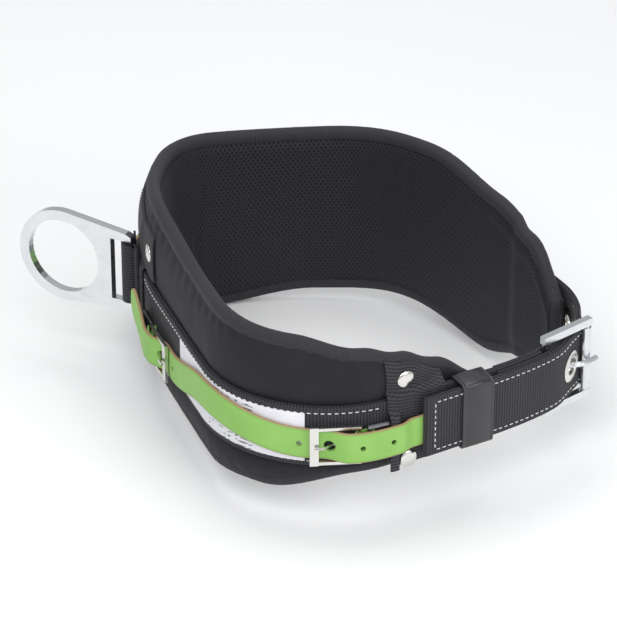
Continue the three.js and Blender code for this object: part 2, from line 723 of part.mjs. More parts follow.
function strap(name, side) {
  const toStation = (reach) => RING_STATION + side * reach;
  const ends = [toStation(STRAP_FROM), toStation(STRAP_TO)].sort((a, b) => a - b);
  const middle = (s) => strapZ(Math.abs(s - RING_STATION));
  const rise = (s) => along(STRAP_RISE, Math.abs(s - RING_STATION));
  const flat = strip({
    from: ends[0],
    to: ends[1],
    step: 6,
    low: (s) => middle(s) - STRAP_WIDTH / 2,
    high: (s) => middle(s) + STRAP_WIDTH / 2,
    inner: (s) => rise(s) - STRAP_THICK / 2,
    outer: (s) => rise(s) + STRAP_THICK / 2,
  });
  const fromLink = LINK_SPAN + SMALL_CHAPE_SPAN + PRONG_HOLE_FROM_BAR;
  const rearProng = REAR_LINK + fromLink;
  const frontProng = FRONT_LINK - fromLink;
  const holes = [
    { reach: rearProng, radius: PRONG_HOLE_R },
    { reach: rearProng + STRAP_HOLE_PITCH, radius: STRAP_HOLE_R },
    { reach: frontProng - STRAP_HOLE_PITCH, radius: STRAP_HOLE_R },
    { reach: frontProng, radius: PRONG_HOLE_R },
    { reach: frontProng + STRAP_HOLE_PITCH, radius: STRAP_HOLE_R },
    { reach: frontProng + 2 * STRAP_HOLE_PITCH, radius: STRAP_HOLE_R },
  ];
  const pegs = holes.map(({ reach, radius }) => peg(radius, 40, 8).translate(toStation(reach), strapZ(reach), 0));
  add("strap_" + name, bentSheet(flat, pegs), "greenLeather");
}

// Webbing tabs that hold the rear links: over the bar, with a sewn foot on each side of it.
function linkTabs() {
  const top = LINK_OFFSET + LINK_BAR_R + GAP;
  const bump = (s) => {
    const away = Math.abs(Math.abs(s - RING_STATION) - REAR_LINK) - LINK_BAR_R - 0.5;
    return THREE.MathUtils.lerp(top, BELT_FACE + GAP, THREE.MathUtils.smoothstep(away, 0, TAB_SLOPE));
  };
  for (const [name, side] of [["left", -1], ["right", 1]]) {
    const ends = [RING_STATION + side * TAB_FROM, RING_STATION + side * TAB_TO].sort((a, b) => a - b);
    const flat = strip({
      from: ends[0],
      to: ends[1],
      step: 1.3,
      low: () => STRAP_Z_REAR - TAB_HALF,
      high: () => STRAP_Z_REAR + TAB_HALF,
      inner: bump,
      outer: (s) => bump(s) + TAB_THICK,
    });
    add("link_tab_" + name, bent(flat), "webbing");
  }
}

// A group whose x runs from one place beside the belt to another.
function between(fromStation, fromOffset, toStation, toOffset, height) {
  const a = beside(routeAt, fromStation, fromOffset);
  const b = beside(routeAt, toStation, toOffset);
  const group = new THREE.Group();
  group.position.set(a.x, a.y, BELT_Z + height);
  group.rotation.z = Math.atan2(b.y - a.y, b.x - a.x);
  group.userData.span = a.distanceTo(b);
  root.add(group);
  return group;
}

function link(name, group) {
  const rod = (radius, length) => new THREE.CylinderGeometry(radius, radius, length, 8);
  const { span } = group.userData;
  const arm = (side) =>
    rod(LINK_BAR_R, span + 2 * LINK_BAR_R).rotateZ(Math.PI / 2).translate(span / 2, 0, side * LINK_HALF);
  const bar = (x) => rod(LINK_BAR_R - 0.1, 2 * LINK_HALF).rotateX(Math.PI / 2).translate(x, 0, 0);
  add("link_" + name, join(arm(1), arm(-1), bar(0), bar(span)), "darkSteel", group);
}

function smallChape(name, group) {
  const { span } = group.userData;
  const room = LINK_BAR_R + 0.2;
  const oval = (radius) => {
    const shape = new THREE.Shape();
    shape.absarc(span, 0, radius, -Math.PI / 2, Math.PI / 2, false);
    shape.absarc(0, 0, radius, Math.PI / 2, (3 * Math.PI) / 2, false);
    return shape;
  };
  const shape = oval(room + SMALL_CHAPE_THICK);
  shape.holes.push(oval(room));
  const options = { depth: 2 * SMALL_CHAPE_HALF, bevelEnabled: false, curveSegments: 4 };
  const band = new THREE.ExtrudeGeometry(shape, options).translate(0, 0, -SMALL_CHAPE_HALF);
  const slot = new THREE.BoxGeometry(9, 9, 2 * SMALL_PRONG_R + 2).translate(span + 1, 0, 0);
  add("chape_" + name, cut(band, slot), "greenLeather", group);
}

function smallBuckle(name, group, out) {
  const { span } = group.userData;
  const box = (w, d, h, x, z) => new THREE.BoxGeometry(w, d, h).translate(x, 0, z);
  const arm = (side) => box(span + SMALL_BAR, SMALL_BAR, SMALL_BAR, span / 2, side * (SMALL_HALF - SMALL_BAR / 2));
  const bar = upright(SMALL_BAR / 2, 2 * SMALL_HALF - SMALL_BAR, 0, 8);
  const flat = box(SMALL_FLAT, SMALL_BAR + 0.2, 2 * SMALL_HALF + 1, span + 1, 0);
  add("small_frame_" + name, join(arm(1), arm(-1), bar, flat), "steel", group);

  const eye = SMALL_BAR / 2 + 0.15;
  const loop = cut(upright(eye + 1.1, 2 * SMALL_PRONG_R, 0, 10), upright(eye, 9, 0, 10));
  const places = [[2, -0.6], [7, -2.6], [12, -2.7], [16, -2.7], [20, -0.4], [23, 2.6], [span, 3.1], [30, 2.9]];
  const shank = bentBar(places, SMALL_PRONG_R, out, 9);
  add("small_prong_" + name, join(loop, shank), "steel", group);
}

// Link, chape, frame and prong at one end of a strap: reaches count from the hanging ring.
function strapEnd(name, side, captured, direction) {
  const toStation = (reach) => RING_STATION + side * reach;
  const linkEnd = captured + direction * LINK_SPAN;
  const barAt = linkEnd + direction * SMALL_CHAPE_SPAN;
  const outerAt = barAt + direction * SMALL_SPAN;
  const height = strapZ(barAt + (direction * SMALL_SPAN) / 2);
  const bulge = direction > 0 ? 0 : 0.4;
  link(name, between(toStation(captured), LINK_OFFSET, toStation(linkEnd), LINK_OFFSET + bulge, height));
  smallChape(name, between(toStation(linkEnd), LINK_OFFSET + bulge, toStation(barAt), SMALL_OFFSET, height));
  const frame = between(toStation(barAt), SMALL_OFFSET, toStation(outerAt), SMALL_OFFSET + bulge, height);
  smallBuckle(name, frame, -side * direction);
}

pad();
ringPatch();
frontLoops();
rivets();
hangingRing();
belt();
eyelets();
buckleChape();
mainBuckle();
keeper();
label();
linkTabs();
for (const [name, side] of [["left", -1], ["right", 1]]) {
  strap(name, side);
  strapEnd(name + "_rear", side, REAR_LINK, 1);
  strapEnd(name + "_front", side, FRONT_LINK, -1);
}

// The part stands on z = 0, with the middle of its bounds over the origin.
const bounds = new THREE.Box3().setFromObject(root);
const centre = bounds.getCenter(new THREE.Vector3());
root.position.set(-centre.x, -centre.y, -bounds.min.z);

export default root;
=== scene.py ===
"""A padded climbing belt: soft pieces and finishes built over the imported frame."""

import math

import bmesh
import bpy
import numpy as np
from mathutils import Euler, Matrix, Vector, noise


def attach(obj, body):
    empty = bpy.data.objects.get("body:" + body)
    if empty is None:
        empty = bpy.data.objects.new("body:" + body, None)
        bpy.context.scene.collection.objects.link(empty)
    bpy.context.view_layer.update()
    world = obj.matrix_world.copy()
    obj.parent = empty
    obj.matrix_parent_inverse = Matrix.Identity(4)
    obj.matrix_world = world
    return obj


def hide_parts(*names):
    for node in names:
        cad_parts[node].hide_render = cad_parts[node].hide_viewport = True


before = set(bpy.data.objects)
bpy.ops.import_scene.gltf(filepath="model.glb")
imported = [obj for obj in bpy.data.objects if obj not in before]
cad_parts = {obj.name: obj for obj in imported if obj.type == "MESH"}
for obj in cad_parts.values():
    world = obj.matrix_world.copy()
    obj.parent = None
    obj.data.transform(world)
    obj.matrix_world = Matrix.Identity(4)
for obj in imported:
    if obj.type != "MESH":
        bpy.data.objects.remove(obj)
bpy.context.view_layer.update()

# ---- The belt's route, in millimetres, as in the CAD ----

ROUTE_START = (26.387, -194.311)
ROUTE_HEADING = math.radians(8)
STRETCHES = [(60, 48), (100, 8), (70, 17), (60, 32), (90, 19), (60, 62)]
STRETCHES += [(120, 33), (100, 1), (60, 41), (90, 57), (78, 0), (46, 16)]
PIVOT = 934  # station of the main buckle's pivot bar
BELT_Z = 74.0  # middle of the webbing above the ground
BELT_HALF = 22.5
RING = 505  # station of the hanging ring
JOIN = 30  # station where the free end leaves the ring's own route
TAIL_OVER = 7.6  # free end's middle line outside the strap's, at the pivot
TAIL_SPREAD = 3.9  # and this much further out at its tip
TAIL_LENGTH = 106  # past the pivot
EYELET_PITCH = 30
EYELET_BARREL = 7.3  # hole cut in the webbing for each
FIRST_EYELET = (21, 0.9)  # from the pivot: along the frame, and outwards
FRAME_HEADING = math.radians(337)


def walk(station):
    x, y = ROUTE_START
    heading = ROUTE_HEADING
    left = station
    for i, (length, turn) in enumerate(STRETCHES):
        run = left if i == len(STRETCHES) - 1 else min(left, length)
        bend = math.radians(turn * run / length)
        chord = run if abs(bend) < 1e-9 else 2 * math.sin(bend / 2) * run / bend
        x += chord * math.cos(heading + bend / 2)
        y += chord * math.sin(heading + bend / 2)
        heading += bend
        left -= run
        if left <= 0:
            break
    return x, y, heading


TABLE_AT = np.arange(0, 950, 1.0)
TABLE = np.array([walk(s) for s in TABLE_AT])


def on_ring(s):
    """Place and heading on the ring's own route."""
    return [np.interp(s, TABLE_AT, TABLE[:, i]) for i in range(3)]


def place(route, s, n, z):
    """World place in metres of a point n outwards from a route and z over the webbing's middle."""
    s, n, z = np.broadcast_arrays(np.asarray(s, float), n, z)
    x, y, heading = route(s)
    return np.stack([x + n * np.sin(heading), y - n * np.cos(heading), BELT_Z + z], axis=-1) / 1000


def flat_place(route, s, n):
    return place(route, s, n, 0)[..., :2] * 1000


pivot = flat_place(on_ring, PIVOT, 0)
frame_along = np.array([math.cos(FRAME_HEADING), math.sin(FRAME_HEADING)])
frame_out = np.array([frame_along[1], -frame_along[0]])


def in_frame(u, v):
    return pivot + u * frame_along + v * frame_out


def catmull(points, per_span=60):
    """Centripetal curve through points, sampled evenly enough to measure along."""
    p = [2 * points[0] - points[1], *points, 2 * points[-1] - points[-2]]
    out = []
    for i in range(1, len(p) - 2):
        a, b, c, d = p[i - 1 : i + 3]
        t0 = 0.0
        t1 = t0 + np.linalg.norm(b - a) ** 0.5
        t2 = t1 + np.linalg.norm(c - b) ** 0.5
        t3 = t2 + np.linalg.norm(d - c) ** 0.5
        for t in np.linspace(t1, t2, per_span, endpoint=False):
            a1 = (t1 - t) / (t1 - t0) * a + (t - t0) / (t1 - t0) * b
            a2 = (t2 - t) / (t2 - t1) * b + (t - t1) / (t2 - t1) * c
            a3 = (t3 - t) / (t3 - t2) * c + (t - t2) / (t3 - t2) * d
            b1 = (t2 - t) / (t2 - t0) * a1 + (t - t0) / (t2 - t0) * a2
            b2 = (t3 - t) / (t3 - t1) * a2 + (t - t1) / (t3 - t1) * a3
            out.append((t2 - t) / (t2 - t1) * b1 + (t - t1) / (t2 - t1) * b2)
    out.append(p[-2])
    return np.array(out)


def run_along(points):
    """Distance along a line of points, from its first."""
    return np.concatenate([[0], np.cumsum(np.linalg.norm(np.diff(points, axis=0), axis=1))])


def tail_offset(back):
    return TAIL_OVER + TAIL_SPREAD * back / TAIL_LENGTH


tail = catmull(
    [flat_place(on_ring, JOIN * share, 0) for share in (1.6, 1, 0.5)]
    + [in_frame(39, -7.2), in_frame(*FIRST_EYELET), in_frame(4, TAIL_OVER)]
    + [flat_place(on_ring, PIVOT - back, tail_offset(back)) for back in (18, 45, 75, TAIL_LENGTH)]
)
tail_run = run_along(tail)
tail_turn = np.unwrap(np.arctan2(*(-np.gradient(tail, axis=0)).T[::-1]))
tail_join = tail_run[np.argmin(np.linalg.norm(tail - flat_place(on_ring, JOIN, 0), axis=1))]
tail_eyelet = tail_run[np.argmin(np.linalg.norm(tail - in_frame(*FIRST_EYELET), axis=1))]
TAIL_TIP = JOIN - (tail_run[-1] - tail_join)
EYELETS = [JOIN - (tail_eyelet - tail_join) + EYELET_PITCH * i for i in range(4)]


def on_belt(s):
    """Place and heading on the whole belt's route, free end included."""
    s = np.asarray(s, float)
    run = tail_join + JOIN - s
    x, y, heading = on_ring(np.maximum(s, JOIN))
    apart = float(on_ring(JOIN)[2]) - np.interp(tail_join, tail_run, tail_turn)
    turn = tail_turn + 2 * math.pi * round(apart / (2 * math.pi))
    return [
        np.where(s >= JOIN, x, np.interp(run, tail_run, tail[:, 0])),
        np.where(s >= JOIN, y, np.interp(run, tail_run, tail[:, 1])),
        np.where(s >= JOIN, heading, np.interp(run, tail_run, turn)),
    ]


# ---- Mesh helpers ----


def smooth01(t):
    t = np.clip(t, 0, 1)
    return t * t * (3 - 2 * t)


def knots(pairs, s):
    """Smooth value between [at, reach] pairs."""
    at = np.array([p[0] for p in pairs], float)
    reach = np.array([p[1] for p in pairs], float)
    s = np.clip(np.asarray(s, float), at[0], at[-1])
    i = np.clip(np.searchsorted(at, s, side="right") - 1, 0, len(at) - 2)
    return reach[i] + (reach[i + 1] - reach[i]) * smooth01((s - at[i]) / (at[i + 1] - at[i]))


def wobble(s, z, size, seed=0.0):
    """Smooth noise from -1 to 1 over the flat pattern."""
    s, z = np.broadcast_arrays(np.asarray(s, float), np.asarray(z, float))
    flat = [noise.noise(Vector((a / size, b / size, seed))) for a, b in zip(s.ravel(), z.ravel())]
    return np.array(flat).reshape(s.shape)


def make(name, points, faces, uvs, material, sharp=45):
    mesh = bpy.data.meshes.new(name)
    mesh.from_pydata([tuple(p) for p in points], [], faces)
    layer = mesh.uv_layers.new(name="UVMap")
    layer.data.foreach_set("uv", np.asarray(uvs, float).ravel())
    mesh.polygons.foreach_set("use_smooth", [True] * len(mesh.polygons))
    mesh.set_sharp_from_angle(angle=math.radians(sharp))
    mesh.materials.append(material)
    obj = bpy.data.objects.new(name, mesh)
    bpy.context.scene.collection.objects.link(obj)
    return obj


def loft(name, rings, along, around, material, closed=True, caps=True, sharp=45, loop=False):
    """A skin over rows of points. along and around place each row and each point in mm, for the UVs."""
    rows, count = rings.shape[:2]
    faces = []
    uvs = []
    span = count if closed else count - 1
    around = np.append(around, around[-1] + np.linalg.norm(rings[0, 0] - rings[0, -1]) * 1000)
    for r in range(rows if loop else rows - 1):
        q = (r + 1) % rows
        ahead = along[r + 1] if r + 1 < rows else along[-1] + (along[-1] - along[-2])
        for c in range(span):
            d = (c + 1) % count
            faces.append((r * count + c, r * count + d, q * count + d, q * count + c))
            uvs += [(along[r], around[c]), (along[r], around[c + 1])]
            uvs += [(ahead, around[c + 1]), (ahead, around[c])]
    if closed and caps and not loop:
        for r, order in ((0, range(count - 1, -1, -1)), (rows - 1, range(count))):
            faces.append(tuple(r * count + c for c in order))
            uvs += [(along[r], around[c]) for c in order]
    obj = make(name, rings.reshape(-1, 3), faces, uvs, material, sharp)
    outwards(obj)
    return obj


def outwards(obj):
    made = bmesh.new()
    made.from_mesh(obj.data)
    bmesh.ops.recalc_face_normals(made, faces=made.faces)
    made.to_mesh(obj.data)
    made.free()


def keep(obj, body, slot, *nodes):
    """The piece rides on a body and stands for CAD nodes, which it hides; slot is not used."""
    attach(obj, body)
    if nodes:
        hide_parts(*nodes)
    return obj


def cut(obj, made, matrix=None):
    """Takes a bmesh tool out of a piece, and frees it."""
    mesh = bpy.data.meshes.new("tool")
    made.to_mesh(mesh)
    made.free()
    tool = bpy.data.objects.new("tool", mesh)
    bpy.context.scene.collection.objects.link(tool)
    if matrix is not None:
        tool.matrix_world = matrix
        bpy.context.view_layer.update()
    modifier = obj.modifiers.new("cut", "BOOLEAN")
    modifier.operation = "DIFFERENCE"
    modifier.solver = "EXACT"
    modifier.object = tool
    with bpy.context.temp_override(object=obj, active_object=obj):
        bpy.ops.object.modifier_apply(modifier=modifier.name)
    bpy.data.objects.remove(tool)


def drill(obj, centres, radius, route, depth=14):
    """Round holes through a strip, at (station, height) on a route."""
    made = bmesh.new()
    size = {"radius1": radius / 1000, "radius2": radius / 1000, "depth": depth / 1000}
    for s, z in centres:
        heading = float(route(s)[2])
        out = Vector((math.sin(heading), -math.cos(heading), 0))
        turn = out.to_track_quat("Z", "Y").to_matrix().to_4x4()
        turn.translation = Vector(place(route, s, 2, z).tolist())
        bmesh.ops.create_cone(made, cap_ends=True, segments=24, matrix=turn, **size)
    cut(obj, made)


def rounded(width, thick, corner, steps=4, across=8):
    """Section of a strap: (height, offset) round a rectangle with rounded corners, outer face first."""
    points = []
    half = width / 2 - corner
    for z in np.linspace(-half, half, across):
        points.append((z, thick / 2))
    for a in np.linspace(90, -90, 2 * steps + 1)[1:-1]:
        r = math.radians(a)
        points.append((half + corner * math.cos(r), (thick / 2) * math.sin(r)))
    for z in np.linspace(half, -half, across):
        points.append((z, -thick / 2))
    for a in np.linspace(-90, -270, 2 * steps + 1)[1:-1]:
        r = math.radians(a)
        points.append((-half + corner * math.cos(r), (thick / 2) * math.sin(r)))
    return np.array(points)


# ---- Materials ----


class Finish:
    """A node material on one Principled shader."""

    def __init__(self, name, **sockets):
        self.material = bpy.data.materials.new(name)
        self.material.use_nodes = True
        self.tree = self.material.node_tree
        self.shader = self.tree.nodes["Principled BSDF"]
        for key, value in sockets.items():
            self.shader.inputs[key.replace("_", " ")].default_value = value

    def node(self, kind, *inputs, **settings):
        made = self.tree.nodes.new("ShaderNode" + kind)
        for key, value in settings.items():
            setattr(made, key, value)
        for i, value in enumerate(inputs):
            self.feed(made.inputs[i], value)
        return made

    def feed(self, socket, value):
        if value is None:
            return
        if hasattr(value, "is_output"):
            self.tree.links.new(value, socket)
        else:
            socket.default_value = value

    def math(self, operation, a, b=None, c=None):
        return self.node("Math", a, b, c, operation=operation).outputs[0]

    def uv(self):
        split = self.node("SeparateXYZ", self.node("UVMap", uv_map="UVMap").outputs[0])
        return split.outputs[0], split.outputs[1]

    def wave(self, value, pitch):
        """A cosine wave from 0 to 1."""
        turned = self.math("COSINE", self.math("MULTIPLY", value, 2 * math.pi / pitch))
        return self.math("MULTIPLY_ADD", turned, 0.5, 0.5)

    def noise(self, scale, detail=3.0, vector=None, rough=0.5):
        made = self.node("TexNoise")
        self.feed(made.inputs["Vector"], vector or self.node("TexCoord").outputs["Object"])
        made.inputs["Scale"].default_value = scale
        made.inputs["Detail"].default_value = detail
        made.inputs["Roughness"].default_value = rough
        return made.outputs[0]

    def stretched(self, x, y, z):
        made = self.node("Mapping")
        self.feed(made.inputs["Vector"], self.node("TexCoord").outputs["Object"])
        made.inputs["Scale"].default_value = (x, y, z)
        return made.outputs[0]

    def mix(self, share, a, b):
        made = self.node("Mix", data_type="RGBA")
        self.feed(made.inputs["Factor"], share)
        self.feed(made.inputs[6], a if hasattr(a, "is_output") else (*a, 1))
        self.feed(made.inputs[7], b if hasattr(b, "is_output") else (*b, 1))
        return made.outputs[2]

    def ramp(self, value, start, end, top=1.0, **settings):
        """Rises from 0 to top while a value goes from start to end."""
        return self.node("MapRange", value, start, end, 0.0, top, **settings).outputs[0]

    def between(self, value, low, high):
        """Maps 0..1 to low..high."""
        return self.math("MULTIPLY_ADD", value, high - low, low)

    def set(self, name, value):
        self.feed(self.shader.inputs[name], value)

    def bump(self, height, depth, under=None):
        made = self.node("Bump")
        made.inputs["Strength"].default_value = 1.0
        made.inputs["Distance"].default_value = depth / 1000
        self.feed(made.inputs["Height"], height)
        self.feed(made.inputs["Normal"], under)
        self.tree.links.new(made.outputs[0], self.shader.inputs["Normal"])
        return made.outputs[0]


def cover_finish():
    sheen = {"Sheen_Weight": 0.05, "Sheen_Roughness": 0.5}
    f = Finish("cover_fabric", Roughness=0.78, Specular_IOR_Level=0.25, **sheen)
    u, v = f.uv()
    weave = f.math("MULTIPLY", f.wave(u, 0.9), f.wave(v, 0.9))
    cloud = f.noise(38, 4)
    # Painted highlight: the weave's thread crossings are lighter, and the cloud adds random tone.
    weave_light_and_tone = f.math("ADD", f.math("MULTIPLY", weave, 0.35), f.math("MULTIPLY", cloud, 0.65))
    f.set("Base Color", f.mix(weave_light_and_tone, (0.008, 0.008, 0.011), (0.026, 0.026, 0.033)))
    f.set("Roughness", f.between(cloud, 0.68, 0.88))
    f.bump(weave, 0.12, f.bump(f.noise(90, 3), 0.5))
    return f.material


def mesh_finish():
    """Knitted spacer mesh: a lattice of diamond holes, painted near black inside as painted shade."""
    f = Finish("spacer_mesh", Roughness=0.7, Sheen_Weight=0.05, Specular_IOR_Level=0.25)
    u, v = f.uv()
    left = f.wave(f.math("ADD", u, f.math("MULTIPLY", v, 0.8)), 3.6)
    right = f.wave(f.math("SUBTRACT", u, f.math("MULTIPLY", v, 0.8)), 3.6)
    hole = f.math("MULTIPLY", left, right)
    open_share = f.ramp(hole, 0.3, 0.62, interpolation_type="SMOOTHSTEP")
    thread = f.noise(1400, 2)
    strand = f.mix(thread, (0.009, 0.009, 0.012), (0.034, 0.034, 0.042))
    # Painted shade: the holes take a near black colour for the shade down inside them.
    f.set("Base Color", f.mix(open_share, strand, (0.0012, 0.0012, 0.0016)))
    f.set("Roughness", f.between(thread, 0.55, 0.8))
    f.bump(f.math("SUBTRACT", 1.0, open_share), 0.9, f.bump(f.noise(40, 2), 0.8))
    return f.material


def tape_finish(name, pitch, cross, low, high, depth, rough=(0.6, 0.85)):
    """Woven tape: ribs of a pitch along it, and threads that run with it, painted lighter on their
    crests and darker between them as painted highlight and painted shade.
    """
    f = Finish(name, Roughness=0.75, Sheen_Weight=0.05, Specular_IOR_Level=0.25)
    u, v = f.uv()
    shift = f.math("MULTIPLY", f.wave(v, 2 * cross), pitch * 0.25)
    rib = f.wave(f.math("ADD", u, shift), pitch)
    thread = f.wave(v, cross)
    fuzz = f.noise(700, 3)
    cloud = f.noise(25, 3)
    # Painted highlight on the rib and thread crests and painted shade between them, times random fuzz
    # and tone.
    height = f.math("ADD", f.math("MULTIPLY", rib, 0.7), f.math("MULTIPLY", thread, 0.3))
    lit = f.math("MULTIPLY", height, f.between(fuzz, 0.5, 1.2))
    crest_light_and_tone = f.math("MULTIPLY", lit, f.between(cloud, 0.75, 1.2))
    f.set("Base Color", f.mix(crest_light_and_tone, low, high))
    f.set("Roughness", f.between(fuzz, *rough))
    f.bump(height, depth, f.bump(fuzz, 0.15))
    return f.material


def steel_finish(name, colour, rough, stretch, spots=0.0):
    """Plated steel: soft mottling and fine scratches."""
    f = Finish(name, Metallic=1.0)
    cloud = f.noise(120, 4)
    scratch = f.noise(60, 6, f.stretched(*stretch), 0.7)
    worn = f.ramp(scratch, 0.55, 0.75)
    dark = tuple(c * 0.72 for c in colour)
    base = f.mix(f.between(cloud, 0.0, 0.6), colour, dark)
    f.set("Base Color", f.mix(f.math("MULTIPLY", worn, 0.35 + spots), base, dark))
    plain = f.between(cloud, *rough)
    f.set("Roughness", f.math("ADD", plain, f.math("MULTIPLY", worn, 0.12)))
    f.bump(scratch, 0.06, f.bump(cloud, 0.12))
    return f.material


def black_leather_finish():
    f = Finish("black_leather", Specular_IOR_Level=0.55, Coat_Weight=0.25, Coat_Roughness=0.3)
    grain = f.node("TexVoronoi", feature="DISTANCE_TO_EDGE")
    f.feed(grain.inputs["Vector"], f.node("TexCoord").outputs["Object"])
    grain.inputs["Scale"].default_value = 900
    cloud = f.noise(60, 4)
    f.set("Base Color", f.mix(cloud, (0.008, 0.008, 0.009), (0.03, 0.03, 0.034)))
    f.set("Roughness", f.between(cloud, 0.28, 0.45))
    f.bump(grain.outputs[0], 0.05, f.bump(f.noise(220, 3), 0.15))
    return f.material


def green_leather_finish(name="green_leather", by_place=True):
    """Leather dyed green on its outer face, tan where it is cut."""
    f = Finish(name, Specular_IOR_Level=0.45)
    cloud = f.noise(45, 5)
    grain = f.noise(1500, 3)
    light, dark = (0.30, 0.56, 0.135), (0.20, 0.43, 0.075)
    green = f.mix(cloud, light, dark)
    tan = f.mix(grain, (0.42, 0.29, 0.15), (0.26, 0.16, 0.075))
    if by_place:
        v = f.uv()[1]
        edge = f.ramp(v, 21.2, 21.9)
        # The outer face's green is darker towards its two edges.
        from_middle = f.math("ABSOLUTE", f.math("SUBTRACT", v, 10.6))
        edge_darkening = f.ramp(from_middle, 9.0, 10.6, 0.35)
        green = f.mix(edge_darkening, green, (0.15, 0.31, 0.06))
        f.set("Base Color", f.mix(edge, green, tan))
    else:
        f.set("Base Color", green)
    f.set("Roughness", f.between(grain, 0.42, 0.62))
    f.bump(grain, 0.06, f.bump(f.noise(180, 4), 0.18))
    return f.material


def label_finish():
    """White coated cloth with rows of generic marks."""
    f = Finish("label_fabric", Specular_IOR_Level=0.4)
    u, v = f.uv()
    column = f.math("FLOOR", f.math("DIVIDE", u, 2.2))
    pick = f.node("CombineXYZ", column, f.math("FLOOR", f.math("DIVIDE", v, 3.4)), 0.0)
    chance = f.node("TexWhiteNoise", pick.outputs[0], noise_dimensions="2D").outputs[0]
    block = f.node("CombineXYZ", f.math("FLOOR", f.math("DIVIDE", u, 21)), 0.0, 0.0)
    wide = f.node("TexWhiteNoise", block.outputs[0], noise_dimensions="2D").outputs[0]
    row = f.math("GREATER_THAN", f.wave(v, 3.4), 0.62)
    here = f.math("MULTIPLY", f.math("GREATER_THAN", chance, 0.6), f.math("GREATER_THAN", wide, 0.8))
    ink = f.math("MULTIPLY", f.math("MULTIPLY", row, here), 0.8)
    paper = f.mix(f.noise(60, 3), (0.82, 0.82, 0.85), (0.66, 0.66, 0.71))
    f.set("Base Color", f.mix(ink, paper, (0.03, 0.03, 0.035)))
    f.set("Roughness", f.between(f.noise(300, 2), 0.45, 0.65))
    f.bump(f.noise(35, 3), 0.5)
    return f.material


def thread_finish(name, low, high):
    f = Finish(name, Specular_IOR_Level=0.3, Sheen_Weight=0.2)
    ply = f.wave(f.math("ADD", *f.uv()), 0.8)
    # Painted highlight on the ply crests and painted shade in the grooves between them.
    f.set("Base Color", f.mix(ply, low, high))
    f.set("Roughness", f.between(ply, 0.6, 0.8))
    f.bump(ply, 0.1)
    return f.material


COVER = cover_finish()
LINING = mesh_finish()
BINDING = tape_finish("binding_tape", 1.5, 1.2, (0.010, 0.010, 0.012), (0.062, 0.062, 0.072), 0.25)
WEBBING = tape_finish("black_webbing", 2.2, 1.5, (0.008, 0.008, 0.010), (0.070, 0.070, 0.080), 0.45)
ZINC = steel_finish("zinc_steel", (0.80, 0.82, 0.84), (0.16, 0.3), (1, 1, 5))
NICKEL = steel_finish("nickel_steel", (0.80, 0.78, 0.74), (0.12, 0.26), (5, 1, 1), 0.2)
DARK = steel_finish("dark_steel", (0.2, 0.2, 0.21), (0.28, 0.45), (1, 4, 1))
BLACK_LEATHER = black_leather_finish()
GREEN = green_leather_finish()
GREEN_PLAIN = green_leather_finish("green_leather_loop", False)
LABEL = label_finish()
WHITE_THREAD = thread_finish("white_thread", (0.5, 0.5, 0.5), (0.88, 0.88, 0.86))
BLACK_THREAD = thread_finish("black_thread", (0.01, 0.01, 0.01), (0.05, 0.05, 0.05))

# ---- Pad ----

PAD_FROM, PAD_TO = 47, 872
# The pad's reach above and below the webbing's middle, at stations along the route.
PAD_ABOVE = [(47, 30), (82, 53), (130, 63), (200, 74), (340, 68), (430, 70), (540, 82)]
PAD_ABOVE += [(640, 73), (740, 71), (790, 60), (820, 50.5), (850, 36), (872, 28)]
PAD_BELOW = [(47, 38), (80, 48), (140, 66), (220, 58), (300, 64), (380, 74), (412, 74)]
PAD_BELOW += [(470, 65), (550, 53), (650, 54), (715, 48.5), (785, 34), (872, 33)]
PAD_MIDDLE = -8.3
PAD_CORNER = 26
PAD_INSET = 3  # the cover and the lining stop this far inside the pad's outline
PAD_OVERRUN = 3  # and run this far past its end stations, into the binding
PAD_UNROLLED = 130  # height that each face takes up in the UVs
PAD_TUCK = 3.2  # its two ends go this much further in
KEEPER_TUCK, EYELET_TUCK, TUCK_RUN = 832, 92, 14  # stations, and the length it takes
PATCH_THICK = 2.0
PATCH_GAP = 0.3  # between the belt and a patch over it
BELT_FACE = 2.0  # from the webbing's middle to its face
LOOP_REACH = 321.5  # from the ring to the middle of each front loop
LOOP_HALF = 22.0
FRONT_LINK = 302.5
REAR_LINK = 42
SHOULDER = 50  # half width of the ring's patch above the belt
RING_Z = 11
RIVETS = [(RING - 38, 46), (RING + 38, 46)]
RIVETS += [(RING + side * 314.6, z) for side in (-1, 1) for z in (34, -25)]
CREASE = 397  # the pad folds sharply here


def end_rounding(s):
    inside = np.minimum(s - PAD_FROM, PAD_TO - s) + PAD_OVERRUN
    t = np.clip(inside / PAD_CORNER, 0, 1)
    return 0.45 + 0.55 * np.sqrt(1 - (1 - t) ** 2)


def pad_top(s):
    return knots(PAD_ABOVE, s) * end_rounding(np.clip(s, PAD_FROM, PAD_TO))


def pad_bottom(s):
    return -knots(PAD_BELOW, s) * end_rounding(np.clip(s, PAD_FROM, PAD_TO))


def tuck(s):
    """How far the pad's two ends go in behind the keeper and the eyelets."""
    near_keeper = smooth01((s - KEEPER_TUCK) / TUCK_RUN)
    return PAD_TUCK * (near_keeper + 1 - smooth01((s - EYELET_TUCK) / TUCK_RUN))


def cover_offset(s, z):
    """Outer face of the pad: flat under the belt, a pillow between the belt and the binding."""
    edge = np.where(z > 0, pad_top(s), -pad_bottom(s)) - PAD_INSET
    room = np.maximum(edge - 23, 1)
    t = np.clip((np.abs(z) - 23) / room, 0, 1)
    ends = np.clip(np.minimum(s - PAD_FROM, PAD_TO - s) / 20, 0, 1)
    swell = 3.6 * np.minimum(1, room / 34) * ends
    n = -2.7 - tuck(s) - 3.2 * t**3 + swell * np.sin(math.pi * t**0.85) ** 0.9
    for rs, rz in RIVETS:
        n = n - 2.2 * np.exp(-((s - rs) ** 2 + (z - rz) ** 2) / 180) * (t > 0)
    return n


